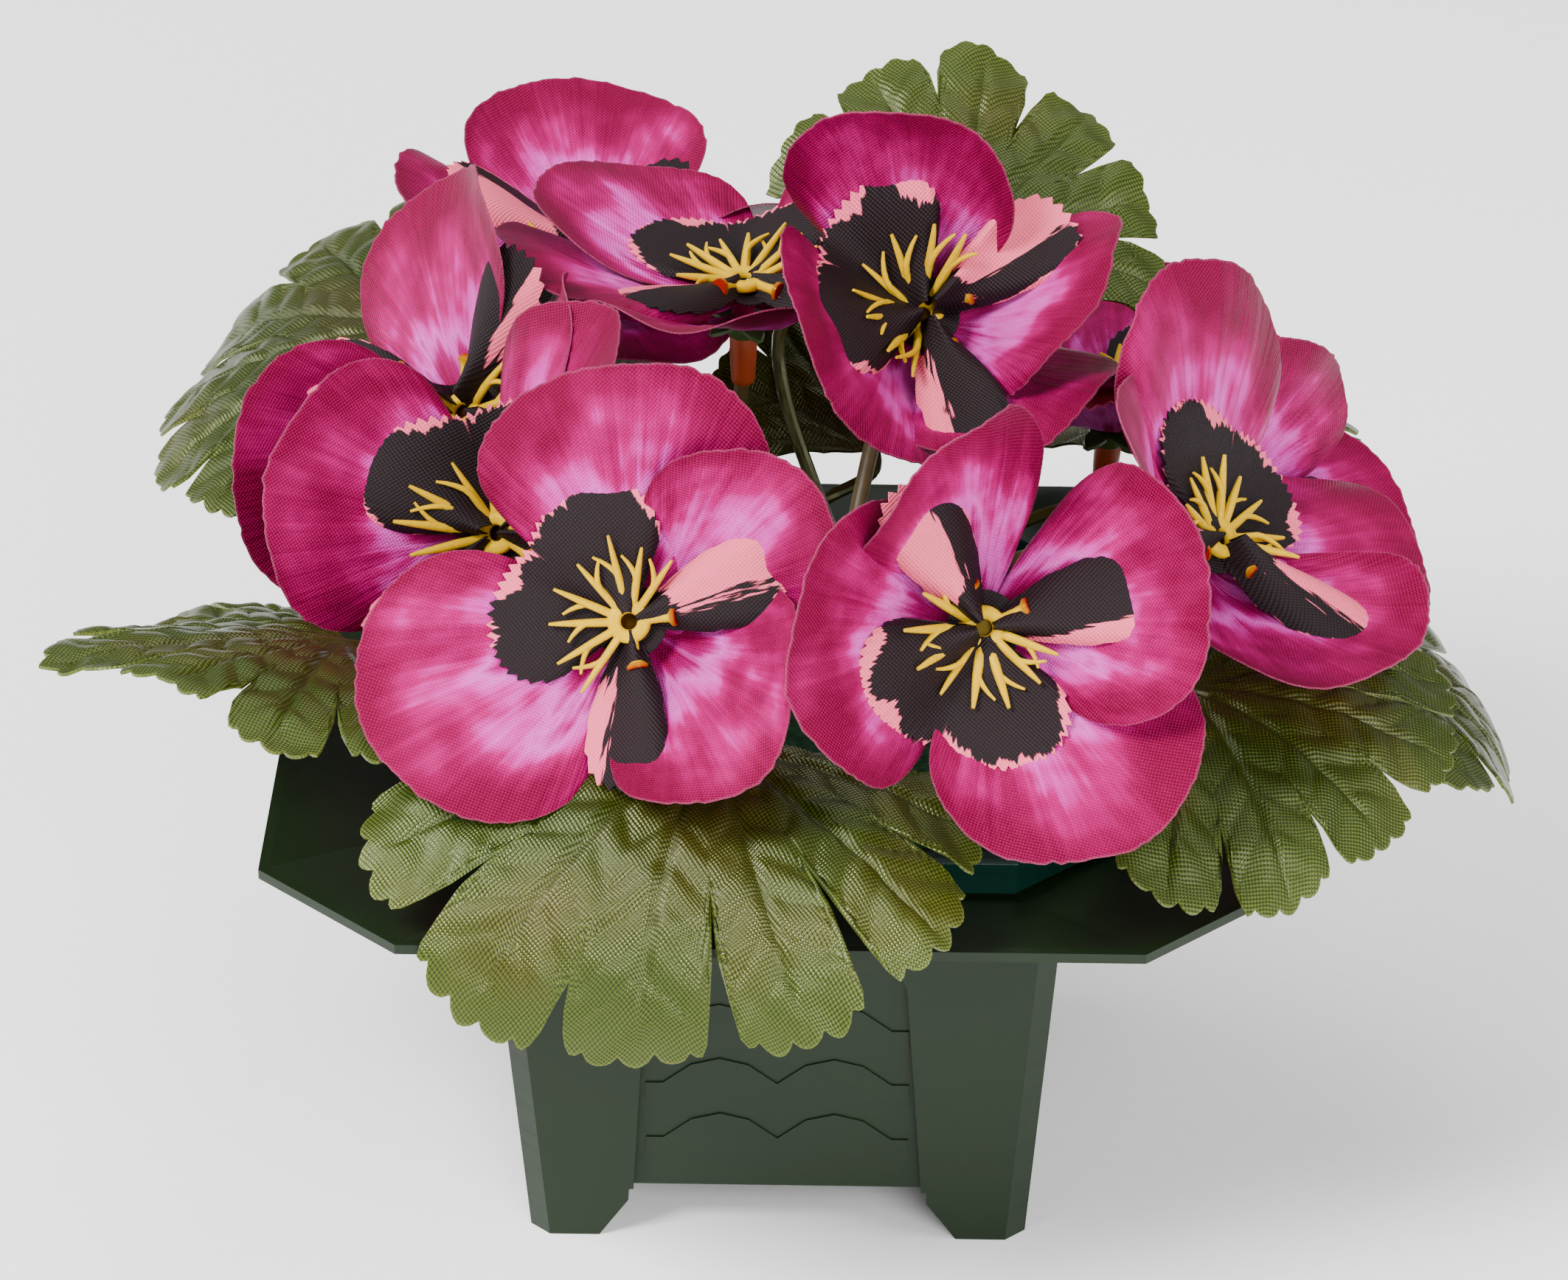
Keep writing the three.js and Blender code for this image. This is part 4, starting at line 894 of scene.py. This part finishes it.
# %% Make the leaves
LOBES = 7
LEAF_SHEET = 0.45
SCALLOP, SCALLOPS = 0.03, 2.5
NOTCH_HALF, NOTCH_ROOT = 0.26, 0.45
NOTCH_DEPTH = (0.1, 0.36)
LARGE_LEAF = 38
VEIN_STEP = 5.5
CRUMPLE = 0.6


def lobe_reach(leaf, side):
    """Reach of the rim for a place round the leaf: each lobe is full in its middle, falls with the
    fourth power towards its sides, has five rounded scallops, and a notch shaped like a V with
    curved sides parts it from the next."""
    place = np.clip((side + 1) / 2 * LOBES, 0, LOBES - 1e-6)
    lobe = np.floor(place).astype(int)
    u = 2 * (place - lobe) - 1
    full = leaf["size"] * np.interp(place, np.arange(LOBES) + 0.5, leaf["reach"])
    scallop = SCALLOP * np.abs(np.sin(SCALLOPS * np.pi * (u + 1))) ** 0.7
    near = np.clip(1 - (1 - np.abs(u)) / NOTCH_HALF, 0, 1) ** 1.6
    notch = leaf["notches"][np.round(place).astype(int)] * near
    notch = np.where((place < 0.5) | (place > LOBES - 0.5), 0, notch)
    return full * (0.985 - 0.08 * u**4 + scallop - notch), full, u


def leaf_grid(leaf, out, side):
    """Places on a leaf. It leaves its base at its pitch, droops evenly along its length, folds down by
    the square of the place across, waves round its rim with the square and the third power of the way
    out, is crumpled by a product of sine waves, and puffs up in cells between its main veins and the
    side veins that branch off them every 5.5 mm."""
    theta = np.radians(leaf["spread"]) * side
    reach, full, u = lobe_reach(leaf, side)
    r = full * out + (reach - full) * np.clip(out - NOTCH_ROOT, 0, 1) / (1 - NOTCH_ROOT)
    t = r / full
    x, y = r * np.sin(theta), r * np.cos(theta)
    p, q = arc(y, math.radians(leaf["pitch"]), -math.radians(leaf["droop"]) / leaf["size"])
    away = np.abs(u) * r * math.radians(leaf["spread"]) / LOBES
    main = np.exp(-(away / (1.1 - 0.6 * t)) ** 2)
    cell = np.abs(np.sin(np.pi * (r - 0.9 * away) / VEIN_STEP))
    side_vein = np.exp(-(cell / 0.22) ** 2) * (1 - main) * np.clip(1.15 - t, 0, 1)
    fade = np.clip(t * 4, 0, 1) * np.clip((1.02 - t) * 5, 0, 1)
    puff = (0.55 * cell**0.7 + 0.35) * (1 - main) * fade
    wave = leaf["wave"] * t**2 * np.sin(theta * 3.4 + leaf["phase"])
    ripple = 1.1 * t**3 * np.sin(theta * 7.3 + 3 * leaf["phase"] + 1)
    crumple = CRUMPLE * t * np.sin(0.52 * x + leaf["phase"] + np.sin(0.4 * y)) * np.sin(0.43 * y)
    lift = q - leaf["fold"] * (x / leaf["size"]) ** 2 + wave + ripple + crumple + puff
    a, b = np.radians([leaf["azimuth"], leaf["bank"]])
    outward = np.array([math.sin(a), -math.cos(a), 0])
    across = np.array([math.cos(a), math.sin(a), 0])
    sideways = across * math.cos(b) + np.array([0, 0, math.sin(b)])
    over = -across * math.sin(b) + np.array([0, 0, math.cos(b)])
    grid = leaf["base"] + p[..., None] * outward + x[..., None] * sideways + lift[..., None] * over
    return grid, x, y, np.maximum(main, side_vein * 0.6), outward, over


def make_leaf(leaf):
    """The blade as a sheet and its petiole as a tube; the large blades near the eye get a finer grid."""
    rows, columns = (62, 210) if leaf["size"] > LARGE_LEAF else (40, 154)
    leaf["notches"] = draw.uniform(*NOTCH_DEPTH, LOBES + 1)
    out = np.linspace(0.02, 1, rows)[:, None]
    side = np.linspace(1, -1, columns + 1)[None, :]
    grid, x, y, vein, outward, over = leaf_grid(leaf, out + 0 * side, side + 0 * out)
    values = {"out": out, "across": x, "along": y, "vein": vein, "part": 0.0}
    seat = leaf_grid(leaf, np.array([[0.12]]), np.array([[0.0]]))[0].reshape(3)
    neck = leaf["base"] - 3 * outward - 1.5 * over
    path = smooth_path([seat, neck, leaf["via"], *root_of(leaf["hole"])], 12)
    petiole = tube_shell(path, np.linspace(0.9, 1.1, len(path)), 10)
    shells = [cloth_shell(grid, LEAF_SHEET, values), (*petiole, {"part": 1.0})]
    return make_piece(leaf["name"] + "_cloth", shells, leaf["name"], LEAF_CLOTH)


for leaf in LEAVES:
    make_leaf(leaf)
print("leaves made, lobes on each:", LOBES)

# %% [markdown]
# The planter is injection moulded polypropylene. Its CAD mesh already has the draft, the panels and
# their low waves, so it keeps that mesh and takes a material. The insert's rim is nearer the eye, so a
# merged copy of its CAD node takes a small bevel, because no moulded edge is truly sharp and a bevel
# catches the light.

# %% Moulded plastics
def moulded(name, low, high, roughness, coat):
    """Moulded polypropylene: flow marks as slow clouds, a fine spark-eroded grain, level scuffs that
    change the gloss."""
    material, tree, shader = new_material(name, {
        "Specular IOR Level": 0.22, "Coat Weight": coat, "Coat Roughness": 0.25})
    place = own_place(tree)
    colour = mix_colour(tree, noise(tree, place, 18.0, 5.0), low, high)
    scratch = noise(tree, squeezed(tree, place, (60, 60, 900)), 1.0, 3.0)
    rough = math_of(tree, "MULTIPLY_ADD", scratch, 0.2, roughness - 0.1)
    tree.links.new(rough, shader.inputs["Roughness"])
    dress(tree, shader, colour, noise(tree, place, 2200.0, 2.0), 0.05, 0.5)
    return material


PLANTER_PLASTIC = moulded("moulded_polypropylene_planter", "#0B1808", "#12200C", 0.42, 0.0)
INSERT_PLASTIC = moulded("moulded_polypropylene_insert", "#041C16", "#0A2E26", 0.3, 0.1)

# %% Put them on the insert and the planter
SAME_PLACE = 1e-6
EDGE_ROUND = 0.3


def rounded_insert():
    """A merged copy of the insert's CAD node with its edges rounded by a bevel."""
    work = bmesh.new()
    work.from_mesh(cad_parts["insert_ring"].data)
    bmesh.ops.remove_doubles(work, verts=work.verts, dist=SAME_PLACE)
    bmesh.ops.dissolve_limit(work, angle_limit=math.radians(1), verts=work.verts, edges=work.edges)
    mesh = bpy.data.meshes.new("insert_moulding")
    work.to_mesh(mesh)
    work.free()
    mesh.materials.append(INSERT_PLASTIC)
    piece = in_scene("insert_moulding", mesh)
    bevel = piece.modifiers.new("moulded_edges", "BEVEL")
    bevel.width = EDGE_ROUND * MM
    bevel.segments = 2
    bevel.harden_normals = True
    smooth_but_sharp(mesh, 25)
    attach(piece, "root")
    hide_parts("insert_ring")


def finish_node(name, material):
    """A CAD node keeps its mesh and takes the material."""
    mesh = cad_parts[name].data
    mesh.materials.clear()
    mesh.materials.append(material)


rounded_insert()
finish_node("planter_body", PLANTER_PLASTIC)
print("planter and insert finished")

# %% [markdown]
# The stems stand in a block of dry floral foam, of which little is seen between the leaves. It is cut
# square and its open cells show, so its CAD mesh stays and a cell pattern gives it its grain.

# %% Foam
def foam():
    """Dry floral foam: matt, dark green, with small open cells."""
    material, tree, shader = new_material("dry_floral_foam", {"Roughness": 0.95})
    cells = add(tree, "TexVoronoi", {"Vector": own_place(tree), "Scale": 900.0}).outputs["Distance"]
    dress(tree, shader, mix_colour(tree, cells, "#123A22", "#2C6A40"), cells, 0.5, 0.8)
    return material


finish_node("foam_block", foam())
print("foam finished")

# %% [markdown]
# The photograph was taken in plain studio light on white paper. A large soft light stands above, to
# the left and in front. A fill from the front and weak lights at both sides and over the back open the
# shadows, and the white room and the pale floor throw light back from all round.

# %% Floor and lights
FLOOR_HALF = 6.0
LIT_POINT = (0, 0, 90)


def paper():
    """Matt white paper with a little fibre in it."""
    material, tree, shader = new_material("pale_paper_floor", {"Roughness": 0.9})
    fibre = noise(tree, own_place(tree), 400.0, 2.0)
    tree.links.new(mix_colour(tree, fibre, "#F4F4F4", "#FAFAFA"), shader.inputs["Base Color"])
    return material


floor_mesh = bpy.data.meshes.new("floor")
corners = [(x * FLOOR_HALF, y * FLOOR_HALF, 0) for x, y in ((-1, -1), (1, -1), (1, 1), (-1, 1))]
floor_mesh.from_pydata(corners, [], [(0, 1, 2, 3)])
floor_mesh.materials.append(paper())
floor = in_scene("floor", floor_mesh)


def soft_light(name, place, size, power):
    """A square light of that size in metres, aimed at the blooms."""
    data = bpy.data.lights.new(name, "AREA")
    data.size = size
    data.energy = power
    in_scene(name, data).matrix_world = facing_from(place, LIT_POINT)


soft_light("key_left", (-900, -900, 1400), 0.6, 62)
soft_light("side_left", (-1300, 200, 900), 0.9, 20)
soft_light("fill_front", (500, -1400, 650), 0.9, 34)
soft_light("side_right", (1300, -500, 900), 0.8, 12)
soft_light("top_back", (200, 600, 1600), 1.0, 12)
world = bpy.data.worlds.new("white_room")
world.use_nodes = True
room = world.node_tree.nodes["Background"].inputs
room["Color"].default_value = (1, 1, 1, 1)
room["Strength"].default_value = 0.38
bpy.context.scene.world = world
print("lights", len(bpy.data.lights))
